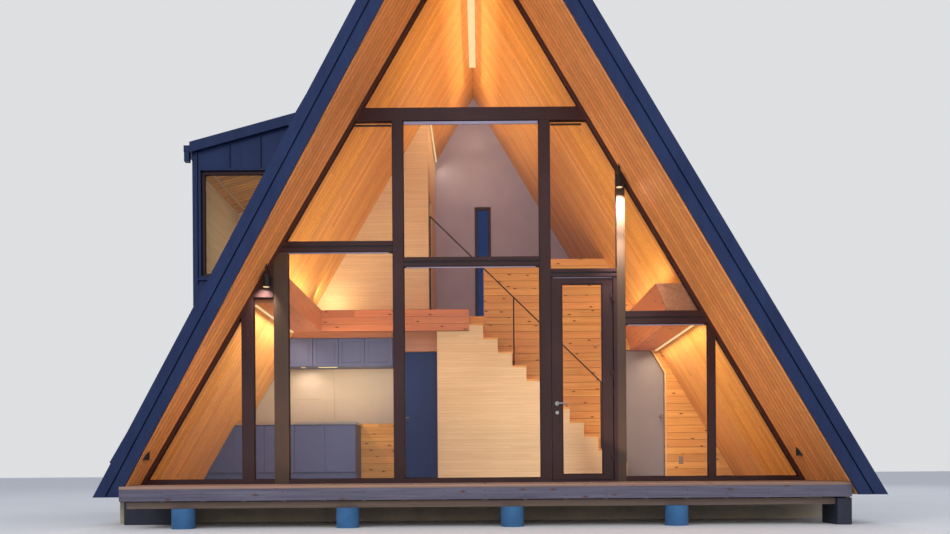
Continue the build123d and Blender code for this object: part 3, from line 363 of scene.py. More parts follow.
# Timber colours, each as a light, a dark and a redder tone
ORANGE = ((0.76, 0.35, 0.12), (0.52, 0.20, 0.06), (0.62, 0.21, 0.085))
GOLD = ((0.82, 0.48, 0.16), (0.62, 0.29, 0.075), (0.72, 0.32, 0.12))
RED = ((0.62, 0.27, 0.13), (0.44, 0.165, 0.08), (0.52, 0.17, 0.10))
CREAM = ((0.78, 0.60, 0.40), (0.66, 0.47, 0.28), (0.74, 0.52, 0.33))
look = {
    "soffit": timber("soffit_timber", *ORANGE, along=2, pitch=BOARD, across=1, start=GLAZING, line=0.8,
                     width=0.11, spread=0.4, vary=0.22),
    "ceiling": timber("ceiling_timber", *GOLD, along=2, pitch=BOARD, across=1, start=GLAZING, line=0.55,
                      width=0.08, spread=0.5, vary=0.28),
    "dormer_ceiling": timber("dormer_ceiling_timber", *GOLD, along=0, pitch=BOARD, across=1,
                             start=PARTITION + DORMER_THICK, line=0.85, width=0.1),
    "under_loft": timber("under_loft_timber", *GOLD, along=0, pitch=BOARD, across=1, start=STAIR),
    "knotty": timber("knotty_timber", *GOLD, along=0, pitch=KNOTTY_BOARD, across=2, start=FLOOR, knots=1.0,
                     line=0.7, width=0.03, vary=0.22, spread=0.5),
    "knotty_board": timber("knotty_board_timber", *GOLD, along=0, knots=1.0),
    # The filler is the beams' red timber made darker: painted shade of the strip between the loft beam and
    # the cupboards.
    "shaded_filler": timber("filler_painted_shade_timber", (0.40, 0.19, 0.12), (0.30, 0.12, 0.07), (0.34, 0.13, 0.09), along=0),
    # The head panel is the knotty timber made darker and pinker: painted shade of the header over the navy
    # doorway.
    "shaded_head_panel": timber("head_panel_painted_shade_timber", (0.55, 0.30, 0.23), (0.46, 0.235, 0.175), (0.50, 0.24, 0.19),
                         along=0),
    "long_board": timber("long_board_timber", *RED, along=1, knots=0.9),
    "loft": timber("loft_timber", *RED, along=0, pitch=LOFT_BOARD, across=2, start=LOFT_EDGE_LOW, knots=0.9,
                   line=0.8, width=0.04),
    "pale": timber("pale_timber", *CREAM, along=0, pitch=PALE_BOARD, across=2, start=FLOOR, line=0.3,
                   spread=0.15, vary=0.06),
    "pale_side": timber("pale_side_timber", *CREAM, along=1, pitch=PALE_BOARD, across=2, start=FLOOR,
                        line=0.3, spread=0.15, vary=0.06),
    "floor": timber("floor_timber", (0.42, 0.25, 0.13), (0.25, 0.13, 0.06), (0.33, 0.16, 0.08), along=1,
                    pitch=FLOOR_BOARD, across=0, gloss=0.32),
    "deck": timber("deck_timber", (0.37, 0.25, 0.19), (0.18, 0.115, 0.09), (0.28, 0.17, 0.13), along=0,
                   gloss=0.72, knots=0.8, spread=0.8),
    # The deck front is the deck's timber made darker and bluer: painted dusk shade on the front face.
    "shaded_deck_front": timber("deck_front_painted_shade_timber", (0.125, 0.12, 0.165), (0.06, 0.057, 0.085), (0.09, 0.082, 0.12),
                         along=0, gloss=0.72, knots=0.8, spread=0.8),
    "underdeck": timber("underdeck_timber", (0.22, 0.16, 0.13), (0.11, 0.08, 0.068), (0.17, 0.12, 0.095),
                        along=0, gloss=0.75),
    "navy": metal("navy_metal", (0.004, 0.013, 0.062), (0.011, 0.026, 0.092), 0.42, ripple=0.15),
    "bronze": metal("bronze_frame", (0.042, 0.020, 0.022), (0.068, 0.034, 0.036), 0.38, 0.5, 0.35),
    "edge": metal("edge_frame", (0.060, 0.021, 0.017), (0.095, 0.035, 0.028), 0.40, 0.4, 0.35),
    "post": metal("post_bronze", (0.060, 0.036, 0.025), (0.088, 0.054, 0.038), 0.38, 0.3, 0.4),
    "bead": metal("bead_metal", (0.30, 0.28, 0.40), (0.38, 0.355, 0.48), 0.35, 0.5, 0.3),
    "navy_leaf": metal("navy_leaf", (0.008, 0.032, 0.17), (0.014, 0.046, 0.21), 0.5, 0.1, 0.2),
    "grey_leaf": metal("grey_leaf", (0.25, 0.24, 0.29), (0.31, 0.30, 0.35), 0.5, 0.0, 0.3),
    "black": metal("black_steel", (0.018, 0.018, 0.02), (0.035, 0.035, 0.04), 0.42, 0.5, 0.3),
    "block": metal("dark_block", (0.012, 0.014, 0.03), (0.03, 0.034, 0.055), 0.6, 0.0, 0.6),
    "cabinet": mineral("cabinet_grey", (0.078, 0.102, 0.24), (0.064, 0.085, 0.21), 1.2, rough=0.5,
                       strength=0.02),
    "splash": mineral("splash_panel", (0.44, 0.385, 0.345), (0.39, 0.335, 0.295), 1.5, rough=0.35,
                      strength=0.05),
    "plaster": mineral("plaster", (0.42, 0.41, 0.60), (0.35, 0.34, 0.52), 1.4, rough=0.9, strength=0.12),
    "concrete": mineral("concrete", (0.50, 0.43, 0.32), (0.35, 0.295, 0.215), 3.5, pits=0.5),
    "pier": mineral("pier_concrete", (0.040, 0.130, 0.28), (0.026, 0.088, 0.20), 5.0, pits=0.5),
    "steel": brushed("steel_hardware", (0.62, 0.62, 0.63)),
    "worktop": brushed("worktop_steel", (0.66, 0.63, 0.60), 0.34),
    "glass": clear_glass("clear_glass"),
    "lens": glowing("light_lens", (1.0, 0.80, 0.42), 0.74),
    "socket": mineral("socket_plate", (0.30, 0.24, 0.22), (0.26, 0.2, 0.18), 2.0, rough=0.5, strength=0.05),
}

# The CAD nodes that take each material
CAD_LOOKS = {
    "navy": ("left_roof", "right_roof", "left_fascia", "right_fascia", "ridge_cap", "dormer_end_walls",
             "dormer_side_wall", "dormer_roof", "dormer_gutter"),
    "ceiling": ("left_ceiling", "right_ceiling"),
    "edge": ("slope_frames",),
    "bronze": ("top_beam", "mullions", "transoms", "sills", "door_frame", "front_door", "window_frames"),
    "post": ("side_posts",),
    "glass": ("glass_panes", "front_door_glass"),
    "steel": ("front_door_lever", "front_door_roses", "inner_hinge_plates", "navy_door_handle",
              "grey_door_knob"),
    "black": ("handrail", "porch_spots", "foot_lights"),
    "lens": ("ridge_light",),
    "knotty": ("partition_walls", "partition_heads", "dormer_floor"),
    "knotty_board": ("stair_treads",),
    "long_board": ("side_beams",),
    "loft": ("loft_edge_beam",),
    "under_loft": ("loft_floor",),
    "pale": ("upper_wall", "stair_side_wall"),
    "pale_side": ("stair_end_wall", "stair_risers"),
    "navy_leaf": ("navy_door", "upper_door"),
    "grey_leaf": ("grey_door",),
    "cabinet": ("kitchen_cabinets",),
    "worktop": ("worktop",),
    "plaster": ("back_wall",),
    "floor": ("floor",),
    "deck": ("deck_boards",),
    # The deck fascia takes the deck timber's copy with painted shade.
    "shaded_deck_front": ("deck_fascia",),
    "underdeck": ("deck_bearers", "deck_joists"),
    "pier": ("deck_piers",),
    "block": ("corner_blocks",),
    "concrete": ("foundation",),
}
# The CAD nodes that take a bevel of each width
SOFT_EDGES = {
    0.001: ("door_frame", "front_door", "left_fascia", "right_fascia", "dormer_gutter"),
    0.002: ("mullions", "side_posts", "transoms", "top_beam", "sills", "slope_frames", "kitchen_cabinets",
            "navy_door", "grey_door", "window_frames"),
    0.003: ("deck_boards", "deck_fascia", "stair_treads", "worktop", "side_beams", "loft_edge_beam"),
    0.004: ("ridge_cap",),
    0.006: ("corner_blocks", "deck_piers"),
    0.008: ("foundation",),
}


def dress_cad_nodes():
    """Materials and soft edges of the solids, whose own meshes stay as they are."""
    for key, names in CAD_LOOKS.items():
        for name in names:
            materials = nodes[name].data.materials
            materials.clear()
            materials.append(look[key])
    for width, names in SOFT_EDGES.items():
        for name in names:
            weld = nodes[name].modifiers.new("weld", "WELD")
            weld.merge_threshold = 0.00005
            bevel = nodes[name].modifiers.new("bevel", "BEVEL")
            bevel.width = width
            bevel.segments = 2
            bevel.limit_method = "ANGLE"
            bevel.angle_limit = 0.7


# Mesh building

def linked(name, data):
    """A new object of this name in the scene."""
    o = bpy.data.objects.new(name, data)
    bpy.context.scene.collection.objects.link(o)
    return o


def clip(outline, axis, low, high):
    """The part of a convex outline between two values along one axis."""
    for sign, limit in ((1, low), (-1, high)):
        kept = []
        for i, p in enumerate(outline):
            q = outline[i - 1]
            inside = sign * (p[axis] - limit) >= 0
            if inside != (sign * (q[axis] - limit) >= 0):
                t = (limit - q[axis]) / (p[axis] - q[axis])
                kept.append((q[0] + t * (p[0] - q[0]), q[1] + t * (p[1] - q[1])))
            if inside:
                kept.append(p)
        outline = kept
        if len(outline) < 3:
            return []
    return outline


def turn_of(outline):
    """Twice the area of an outline, below zero where it runs clockwise."""
    return sum(p[0] * q[1] - q[0] * p[1] for p, q in zip([outline[-1], *outline], outline))


def inset(outline, amount):
    """A convex outline moved inwards by an amount on every side."""
    n = len(outline)
    sign = 1.0 if turn_of(outline) > 0 else -1.0
    out = []
    for i in range(n):
        a, b, c = Vector(outline[i - 1]), Vector(outline[i]), Vector(outline[(i + 1) % n])
        d0, d1 = (b - a).normalized(), (c - b).normalized()
        n0, n1 = Vector((-d0.y, d0.x)) * sign, Vector((-d1.y, d1.x)) * sign
        whole = n0 + n1
        whole = whole / max(whole.dot(n0), 0.2)
        out.append(tuple(b + whole * amount))
    return out


def tidy(outline, least=0.002):
    """An outline that runs anticlockwise, without points that lie on each other."""
    kept = []
    for p in outline:
        if not kept or (Vector(p) - Vector(kept[-1])).length > least:
            kept.append(p)
    while len(kept) > 2 and (Vector(kept[0]) - Vector(kept[-1])).length <= least:
        kept.pop()
    if len(kept) < 3:
        return []
    return kept if turn_of(kept) >= 0 else kept[::-1]


class Build:
    """Collects solids on one plane: a and b lie in the plane and h is out of it.

    Where n is turned to the other side, the faces of the solids point inwards.
    """

    def __init__(self, origin, u, v):
        self.origin, self.u, self.v = Vector(origin), Vector(u).normalized(), Vector(v).normalized()
        self.n = self.u.cross(self.v)
        self.verts, self.faces = [], []

    def at(self, p, h):
        return tuple(self.origin + self.u * p[0] + self.v * p[1] + self.n * h)

    def slab(self, outline, low, high, chamfer=0.0):
        """A flat piece with a chamfered top edge."""
        outline = tidy(outline)
        if not outline:
            return
        rings = [(outline, low)]
        if chamfer:
            rings += [(outline, high - chamfer), (inset(outline, chamfer), high)]
        else:
            rings += [(outline, high)]
        n, first = len(outline), len(self.verts)
        for ring, h in rings:
            self.verts += [self.at(p, h) for p in ring]
        self.faces.append(tuple(first + i for i in reversed(range(n))))
        for r in range(len(rings) - 1):
            base = first + r * n
            self.faces += [(base + i, base + (i + 1) % n, base + n + (i + 1) % n, base + n + i)
                           for i in range(n)]
        self.faces.append(tuple(first + (len(rings) - 1) * n + i for i in range(n)))

    def rect(self, a0, a1, b0, b1, low, high, chamfer=0.0):
        self.slab(corners(a0, a1, b0, b1), low, high, chamfer)

    def boards(self, outline, axis, pitch, thick, gap, chamfer, start):
        """Boards laid side by side along an axis, cut to an outline."""
        low = min(p[axis] for p in outline)
        high = max(p[axis] for p in outline)
        edge = start + pitch * int((low - start) / pitch - 1)
        while edge < high:
            part = clip(outline, axis, edge + gap / 2, edge + pitch - gap / 2)
            if part:
                size = max(p[axis] for p in part) - min(p[axis] for p in part)
                if size > 3 * chamfer:
                    self.slab(part, 0.0, thick, chamfer)
            edge += pitch

    def seam(self, a, low, high, base=0.0, top=0.026):
        """A standing seam of sheet metal."""
        self.rect(a - 0.006, a + 0.006, low, high, base, top, 0.002)

    def disc(self, centre, radius, low, high, sides, crown=0.0):
        ring = [(centre[0] + radius * cos(2 * pi * i / sides), centre[1] + radius * sin(2 * pi * i / sides))
                for i in range(sides)]
        self.slab(ring, low, high, crown)

    def frame(self, outline, width, low, high, chamfer=0.0):
        """A closed bead that follows an outline on its inner side."""
        outline = tidy(outline)
        if not outline:
            return
        loops = [(outline, low), (outline, high - chamfer), (inset(outline, chamfer), high),
                 (inset(outline, width - chamfer), high), (inset(outline, width), high - chamfer),
                 (inset(outline, width), low)]
        n, first, m = len(outline), len(self.verts), len(loops)
        for ring, h in loops:
            self.verts += [self.at(p, h) for p in ring]
        for r in range(m):
            base, after = first + r * n, first + ((r + 1) % m) * n
            self.faces += [(base + i, base + (i + 1) % n, after + (i + 1) % n, after + i)
                           for i in range(n)]

    def make(self, name, key, slot, body="cabin"):
        mesh = bpy.data.meshes.new(name)
        mesh.from_pydata(self.verts, [], self.faces)
        mesh.update()
        mesh.materials.append(look[key])
        o = linked(name, mesh)
        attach(o, body)


def slope_build(side):
    """A build on a slope's soffit: a is Y, b runs up the slope and h points down, off the soffit."""
    up = Vector((-side * cos(ANGLE), 0, sin(ANGLE)))
    build = Build((side * HALF, 0, 0), (0, 1, 0), up)
    build.n = Vector((-side * sin(ANGLE), 0, -cos(ANGLE)))
    return build


def up_slope(z):
    return z / sin(ANGLE)


def upright(y, towards=-1):
    """A build on an upright plane across the cabin: a is X, b is Z and h points to the front or back."""
    build = Build((0, y, 0), (1, 0, 0), (0, 0, 1))
    build.n = Vector((0, towards, 0))
    return build


def level_build(z=0.0):
    """A build on a level plane: a is X, b is Y and h points up."""
    return Build((0, 0, z), (1, 0, 0), (0, 1, 0))


def islands(node):
    """The corners of each separate solid of a CAD node."""
    mesh = nodes[node].data
    where = [tuple(round(c, 5) for c in v.co) for v in mesh.vertices]
    parent = {p: p for p in where}

    def root(p):
        while parent[p] != p:
            p = parent[p]
        return p

    for polygon in mesh.polygons:
        first = root(where[polygon.vertices[0]])
        for i in polygon.vertices[1:]:
            parent[root(where[i])] = first
    groups = {}
    for p in sorted(set(where)):
        groups.setdefault(root(p), []).append(p)
    return list(groups.values())


def outline_of(points):
    """The front outline of a convex plate, with its front and back."""
    y0, y1 = min(p[1] for p in points), max(p[1] for p in points)
    flat = sorted({(p[0], p[2]) for p in points if p[1] < y0 + 0.001})
    hull = []
    for sweep in (flat, flat[::-1]):
        start = len(hull)
        for p in sweep:
            while len(hull) - start > 1:
                (ax, az), (bx, bz) = hull[-2], hull[-1]
                if (bx - ax) * (p[1] - az) - (bz - az) * (p[0] - ax) > 1e-9:
                    break
                hull.pop()
            hull.append(p)
        hull.pop()
    return hull, y0, y1


# Camera, matched to the photograph, with its focus and axis in pixels

PHOTO_WIDTH, PHOTO_HEIGHT = 950, 534
PHOTO_FOCUS = 900.94
PHOTO_AXIS = (481.43, 470.32)
CAMERA_PLACE = (0.103, -13.431, 0.622)
CAMERA_LEAN = 0.00719
SENSOR = 36.0


def place_camera():
    data = bpy.data.cameras.new("camera")
    cam = linked("camera", data)
    x, y, z = CAMERA_PLACE
    cam.matrix_world = Matrix((
        (cos(CAMERA_LEAN), sin(CAMERA_LEAN), 0, x),
        (0, 0, -1, y),
        (-sin(CAMERA_LEAN), cos(CAMERA_LEAN), 0, z),
        (0, 0, 0, 1),
    ))
    data.sensor_width = SENSOR
    data.lens = PHOTO_FOCUS / PHOTO_WIDTH * SENSOR
    data.shift_x = -(PHOTO_AXIS[0] - PHOTO_WIDTH / 2) / PHOTO_WIDTH
    data.shift_y = (PHOTO_AXIS[1] - PHOTO_HEIGHT / 2) / PHOTO_WIDTH
    data.clip_end = 300.0
    bpy.context.scene.camera = cam


# Roof and partition

def soffit_boards():
    """Boards that run up both slopes of the porch."""
    low, high = DECK + 0.006, SOFFIT_TOP
    for side, name in ((-1, "left"), (1, "right")):
        soffit = slope_build(side)
        outline = [(GLAZING, up_slope(low)), (GLAZING, up_slope(high)),
                   (rake_y(side, high) + FASCIA, up_slope(high)), (rake_y(side, low) + FASCIA, up_slope(low))]
        soffit.boards(outline, 0, BOARD, 0.008, 0.016, 0.003, start=GLAZING)
        soffit.make(name + "_soffit_boards", "soffit", "soffit_timber")


def grey_doorway_corner():
    """The doorway's right side ends below the slope, and its head ends before it. Both ends, as x and z."""
    return slope_x(DOOR_HEAD) - SLOPE_JAMB, slope_z(GREY_RIGHT + SLOPE_JAMB)


def partition_boards():
    """Knotty boards on the partition's front, around its doorways."""
    corner_x, corner_z = grey_doorway_corner()
    wall = upright(PARTITION)
    for outline in (
        corners(NAVY_RIGHT, LOFT_RIGHT, FLOOR, LOFT_UNDER),
        [(LOFT_RIGHT, FLOOR), (GREY_LEFT, FLOOR), (GREY_LEFT, slope_z(GREY_LEFT)),
         (slope_x(PARAPET), PARAPET), (LOFT_RIGHT, PARAPET)],
        [(GREY_LEFT, DOOR_HEAD), (slope_x(DOOR_HEAD), DOOR_HEAD), (GREY_LEFT, slope_z(GREY_LEFT))],
        [(GREY_RIGHT, FLOOR), (slope_x(FLOOR), FLOOR), (slope_x(corner_z), corner_z), (GREY_RIGHT, corner_z)],
        [(GREY_RIGHT, corner_z), (slope_x(corner_z), corner_z), (slope_x(DOOR_HEAD), DOOR_HEAD),
         (corner_x, DOOR_HEAD)],
    ):
        wall.boards(outline, 1, KNOTTY_BOARD, BOARD_FACE, 0.002, 0.002, start=FLOOR)
    wall.make("partition_boards", "knotty", "knotty_timber")
    # The panel over the navy doorway takes the knotty timber's copy with painted shade.
    head = upright(PARTITION)
    head.rect(NAVY_LEFT, NAVY_RIGHT, DOOR_HEAD, LOFT_UNDER, 0.0, BOARD_FACE, 0.002)
    head.make("navy_door_head_panel", "shaded_head_panel", "knotty_timber")


def doorway_trim():
    """Strips beside both doorways, one of which follows the cut corner, and an outlet."""
    corner_x, corner_z = grey_doorway_corner()
    wide, thick, lift = 0.022, 0.014, 0.003
    near = [(GREY_RIGHT, FLOOR), (GREY_RIGHT, corner_z), (corner_x, DOOR_HEAD)]
    far = [(GREY_RIGHT + wide, FLOOR), (GREY_RIGHT + wide, corner_z + lift),
           (corner_x + wide, DOOR_HEAD + lift)]
    trim = upright(PARTITION)
    for i in range(2):
        trim.slab([near[i], far[i], far[i + 1], near[i + 1]], 0.0, thick, 0.002)
    for left in (NAVY_RIGHT, NAVY_LEFT - 0.02):
        trim.rect(left, left + 0.02, FLOOR, DOOR_HEAD, 0.0, 0.012, 0.002)
    trim.make("doorway_trim", "pale", "pale_timber")
    plate = upright(PARTITION - BOARD_FACE)
    plate.rect(3.225, 3.295, 0.70, 0.82, 0.0, 0.008, 0.003)
    plate.make("outlet_plate", "socket", "cabinet_grey")


# Glazed front

def glass_beads(plates, width, deep, outer_name, inner_name, body="cabin"):
    """Beads on both faces of glass plates, each given as its outline, its front and its back."""
    outer, inner = upright(0, -1), upright(0, 1)
    for outline, front, back in plates:
        outer.frame(outline, width, -front, deep - front, 0.003)
        inner.frame(outline, width, back, back + deep, 0.003)
    outer.make(outer_name, "bronze", "bronze_frame", body)
    inner.make(inner_name, "bronze", "bronze_frame", body)


def transom_faces():
    """Two bands on each transom with a groove between them, and a pale bead at the heads of panes."""
    upper_row, right_bay = 2.8, 1.8
    bead_deep, bead_chamfer = 0.02, 0.002
    bands, grooves, pale = upright(GLAZING), upright(GLAZING), upright(GLAZING + 0.012)
    for points in islands("transoms"):
        hull = outline_of(points)[0]
        low, high = min(p[1] for p in hull), max(p[1] for p in hull)
        left, right = min(p[0] for p in hull), max(p[0] for p in hull)
        if high - low > 0.04:
            groove_low, groove_high = (low + high) / 2 - 0.010, (low + high) / 2 + 0.006
            bands.slab(inset(clip(hull, 1, groove_high, high), 0.003), 0.0, 0.008, 0.002)
            bands.slab(inset(clip(hull, 1, low, groove_low), 0.003), 0.0, 0.006, 0.002)
            grooves.slab(clip(hull, 1, groove_low, groove_high), 0.0, 0.001)
        if low > upper_row or left > right_bay:
            pale.rect(left + 0.03, right - 0.05, low - 0.016, low - 0.002, -bead_deep, 0.0, bead_chamfer)
    beam_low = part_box("top_beam")[0].z
    middle_bay = [p[0] for points in islands("mullions") for p in points if abs(p[0]) < 0.9]
    pale.rect(min(middle_bay) + 0.012, max(middle_bay) - 0.012, beam_low - 0.045, beam_low - 0.006,
              -bead_deep, 0.0, 0.003)
    bands.make("transom_bands", "bronze", "bronze_frame")
    grooves.make("transom_grooves", "black", "black_steel")
    pale.make("pane_head_beads", "bead", "bronze_frame")


def head_slots():
    """Slots in the heads of the two side panes, under the top beam."""
    slot_low, slot_high = 4.897, 4.913
    slots = upright(GLAZING)
    for left, right in ((-1.44, -0.985), (0.985, 1.37)):
        slots.rect(left, right, slot_low, slot_high, -0.03, 0.004, 0.002)
    slots.make("head_slots", "black", "black_steel")


def front_door_details():
    """Lock, beads and the stops that the leaf closes on."""
    place = (1.048, 1.33)
    lock = upright(GLAZING + 0.012)
    lock.disc(place, 0.022, 0.0, 0.006, 24, 0.002)
    lock.disc(place, 0.008, 0.006, 0.009, 16, 0.001)
    lock.make("door_lock", "steel", "steel_hardware", "front_door")
    low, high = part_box("front_door")
    gap = 0.004
    stop = upright(0, 1)
    stop.frame(corners(low.x - gap, high.x + gap, low.z - gap, high.z + gap), 0.016,
               high.y + 0.002, high.y + 0.014, 0.002)
    stop.make("door_stops", "black", "black_steel")
    low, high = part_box("front_door_glass")
    glass_beads([(corners(low.x, high.x, low.z, high.z), low.y, high.y)], 0.014, 0.012,
                "door_outer_beads", "door_inner_beads", "front_door")


# Lights that show

def light_strips():
    """Strips in the coves and at the slopes' feet, below the wall cupboards and on the return wall."""
    wide, thick, front = 0.035, 0.012, -2.05
    strips = level_build()
    for left, back, low, chamfer in (
        (2.60, 0.80, 2.951, 0.002),
        (-2.585, 0.18, 3.061, 0.002),
        (2.855, 0.80, 2.487, 0.0),
        (-2.755, 0.18, 2.723, 0.0),
    ):
        strips.rect(left, left + wide, front, back, low, low + thick, chamfer)
    for left, right in ((-2.41, -2.12), (-2.68, -2.61)):
        strips.rect(left, right, 0.52, 0.545, 2.229, 2.239, 0.0)
    strips.make("cove_lights", "lens", "light_lens")
    wall = slope_build(-1)
    wall.rect(0.86, 3.16, up_slope(6.298), up_slope(6.325), 0.0, thick, 0.002)
    wall.make("return_wall_light", "lens", "light_lens")
    lenses = level_build()
    for _, x, low, _ in SPOTS:
        lenses.disc((x, SPOT_FRONT), 0.037, low - 0.003, low + 0.002, 24)
    lenses.make("spot_lenses", "lens", "light_lens")


# Kitchen

def up_to_slope(right, low, high):
    """An outline whose left edge follows the left slope."""
    return [(-slope_x(low), low), (right, low), (right, high), (-slope_x(high), high)]


def wall_cupboards():
    """Framed fronts with a knob each, a plain piece that ends at the slope, and a board above them."""
    edges = (-2.885, -2.485, -2.09, -1.688, CUPBOARD_RIGHT)
    rail, gap = 0.052, 0.004
    fronts = upright(CUPBOARD_FACE)
    for left, right in zip(edges, edges[1:]):
        door = corners(left + gap, right - gap, CUPBOARD_LOW, CUPBOARD_HIGH)
        fronts.frame(door, rail, 0.0, 0.02, 0.003)
        fronts.slab(inset(door, rail - 0.001), 0.0, 0.008)
        fronts.disc((left + 0.03, CUPBOARD_LOW + 0.039), 0.009, 0.02, 0.04, 12, 0.003)
    end = edges[0] - gap
    fronts.slab([(-slope_x(CUPBOARD_LOW + gap), CUPBOARD_LOW), (end, CUPBOARD_LOW), (end, 2.59)],
                0.0, 0.018, 0.002)
    fronts.make("wall_cabinet_fronts", "cabinet", "cabinet_grey")
    # The board over the cupboards takes the darker red timber with painted shade.
    shaded_filler = upright(CUPBOARD_FACE + 0.02)
    shaded_filler.rect(-2.80, CUPBOARD_RIGHT - 0.002, CUPBOARD_HIGH + 0.004, LOFT_UNDER - 0.004, 0.0, 0.018, 0.002)
    shaded_filler.make("cabinet_filler", "shaded_filler", "knotty_timber")


def base_cupboards():
    base = upright(0.21)
    base.boards(up_to_slope(-1.8, 0.61, 1.315), 0, 0.46, 0.019, 0.004, 0.002, start=-4.10)
    base.make("base_cabinet_fronts", "cabinet", "cabinet_grey")


def splash_panels():
    """Two rows of two panels between the worktop and the wall cupboards."""
    levels, joints = (1.372, 1.76, 2.238), (-3.7, -2.215, -1.252)
    splash = upright(PARTITION)
    for low, high in zip(levels, levels[1:]):
        row = up_to_slope(joints[2], low, high)
        for left, right in zip(joints, joints[1:]):
            splash.slab(inset(clip(row, 0, left, right), 0.001), 0.0, 0.006, 0.001)
    splash.make("splash_panels", "splash", "cabinet_grey")


# Deck

def deck_fixings():
    """Two screws in each board at each joist, and two nails in the front board at each joist."""
    screws = level_build(DECK)
    for i in range(JOISTS):
        x = JOIST_FIRST + i * JOIST_PITCH
        for j in range(DECK_BOARDS):
            for off in (0.028, 0.088):
                y = DECK_FRONT + j * DECK_BOARD + off
                screws.disc((x + random.uniform(-0.004, 0.004), y), 0.0045, -0.001, 0.0008, 8)
    screws.make("deck_screws", "black", "black_steel")
    nails = upright(DECK_FRONT)
    for i in range(JOISTS):
        for z in (0.345, 0.40):
            x = JOIST_FIRST + i * JOIST_PITCH + random.uniform(-0.006, 0.006)
            nails.disc((x, z), 0.005, -0.001, 0.001, 8)
    nails.make("front_board_nails", "black", "black_steel")


# Back gable

def back_cladding():
    """Sheets with standing seams around the slit window, and the window's sill."""
    left, right, low, high = SLIT_WINDOW
    foot, first = slope_x(GABLE_LOW), -10 * SEAM_PITCH
    back = upright(GABLE_BACK, 1)
    for outline in (
        [(-foot, GABLE_LOW), (left, GABLE_LOW), (left, slope_z(left))],
        [(right, GABLE_LOW), (foot, GABLE_LOW), (right, slope_z(right))],
        corners(left, right, GABLE_LOW, low),
        [(left, high), (right, high), (right, slope_z(right)), (left, slope_z(left))],
    ):
        back.boards(outline, 0, SEAM_PITCH, 0.005, 0.001, 0.0, start=first)
    for i in range(1, 20):
        x = first + SEAM_PITCH * i
        top = min(slope_z(x), slope_z(x + 0.007)) - 0.01
        beside_window = not left - 0.008 < x < right + 0.008
        if top > 0.5 and beside_window:
            back.seam(x, GABLE_LOW, top, 0.004, 0.03)
    back.make("back_cladding", "navy", "navy_metal")
    sill = upright(GABLE_BACK, 1)
    sill.rect(left - 0.018, right + 0.018, low - 0.028, low - 0.001, 0.0, 0.06, 0.003)
    sill.make("slit_window_sill", "navy", "navy_metal")


# Dormer

def dormer_seams():
    """Seams of the dormer's three walls, and the surround and sill of its window."""
    clear = 0.005
    over_window = DORMER_WINDOW[3] + 0.02
    ribs = upright(PARTITION)
    for x, lowest in ((-3.845, over_window), (-3.354, over_window), (-4.36, 3.6), (-2.86, 0)):
        low, high = max(lowest, slope_z(x, SLAB) + clear), dormer_under(x) - clear
        if high > low:
            ribs.seam(x, low, high)
    ribs.frame(inset(corners(*DORMER_WINDOW), -0.035), 0.035, 0.0, 0.03, 0.003)
    left, right, low, _ = DORMER_WINDOW
    ribs.rect(left - 0.05, right + 0.05, low - 0.065, low - 0.03, 0.0, 0.05, 0.003)
    ribs.make("dormer_front_seams", "navy", "navy_metal")
    ribs = upright(DORMER_END, 1)
    for i in range(5):
        x = -4.335 + 0.49 * i
        low, high = slope_z(x, SLAB) + clear, dormer_under(x) - clear
        if high > low + 0.05:
            ribs.seam(x, low, high)
    ribs.make("dormer_back_seams", "navy", "navy_metal")
    ribs = Build((DORMER_WALL, 0, 0), (0, 1, 0), (0, 0, 1))
    ribs.n = Vector((-1, 0, 0))
    for i in range(6):
        ribs.seam(PARTITION + 0.02 + i * 0.446, slope_z(DORMER_WALL, SLAB) + clear,
                  dormer_under(DORMER_WALL) - 0.003)
    ribs.make("dormer_side_seams", "navy", "navy_metal")


def dormer_lining():
    """Pale boards on the dormer's inner walls, a boarded ceiling, and two strips where they meet."""
    wall = DORMER_WALL + DORMER_THICK
    front, back = PARTITION + DORMER_THICK, DORMER_END - DORMER_THICK
    side_board, thick = 0.2, 0.006
    end = upright(back)
    end.boards([(wall, LOFT), (-slope_x(LOFT), LOFT), (-1.0, 5.3), (-1.0, dormer_under(-1.0)),
                (wall, dormer_under(wall))], 1, side_board, thick, 0.002, 0.001, start=LOFT)
    end.make("dormer_end_lining", "pale", "pale_timber")
    side = Build((wall, 0, 0), (0, 1, 0), (0, 0, 1))
    side.boards(corners(front, back, LOFT, dormer_under(wall)), 1, side_board, thick, 0.002, 0.001,
                start=LOFT)
    side.make("dormer_side_lining", "pale_side", "pale_timber")
    ceiling_level = 5.34
    ceiling = Build((wall, 0, ceiling_level), (0, 1, 0), (1, 0, DORMER_RISE))
    ceiling.boards(corners(front, back, 0.0, 3.6), 0, BOARD, 0.012, 0.012, 0.003, start=front)
    ceiling.make("dormer_ceiling_boards", "dormer_ceiling", "soffit_timber")
    cornice = level_build()
    for x in (wall + 0.006, wall + 0.15):
        under = ceiling_level + DORMER_RISE * (x - wall)
        cornice.rect(x, x + 0.022, front + 0.01, back - 0.01, under - 0.034, under - 0.012, 0.003)
    cornice.make("dormer_cornices", "pale_side", "pale_timber")


def gutter_ends():
    """Closed ends of the dormer's gutter, and brackets across its top."""
    low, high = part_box("dormer_gutter")
    wide, bracket_low, top, end_thick, half_bracket = 0.09, 5.766, 5.772, 0.004, 0.012
    gutter = upright(0)
    for y in (low.y, high.y - end_thick):
        gutter.rect(low.x, low.x + wide, 5.67, top, -y - end_thick, -y, 0.001)
    brackets, margin = 6, 0.2
    for i in range(brackets):
        y = low.y + margin + i * (high.y - low.y - 2 * margin) / (brackets - 1)
        gutter.rect(low.x + 0.0005, low.x + wide, bracket_low, top, -y - half_bracket, -y + half_bracket,
                    0.001)
    gutter.make("gutter_ends", "navy", "navy_metal")


# Floor, lamps and surroundings

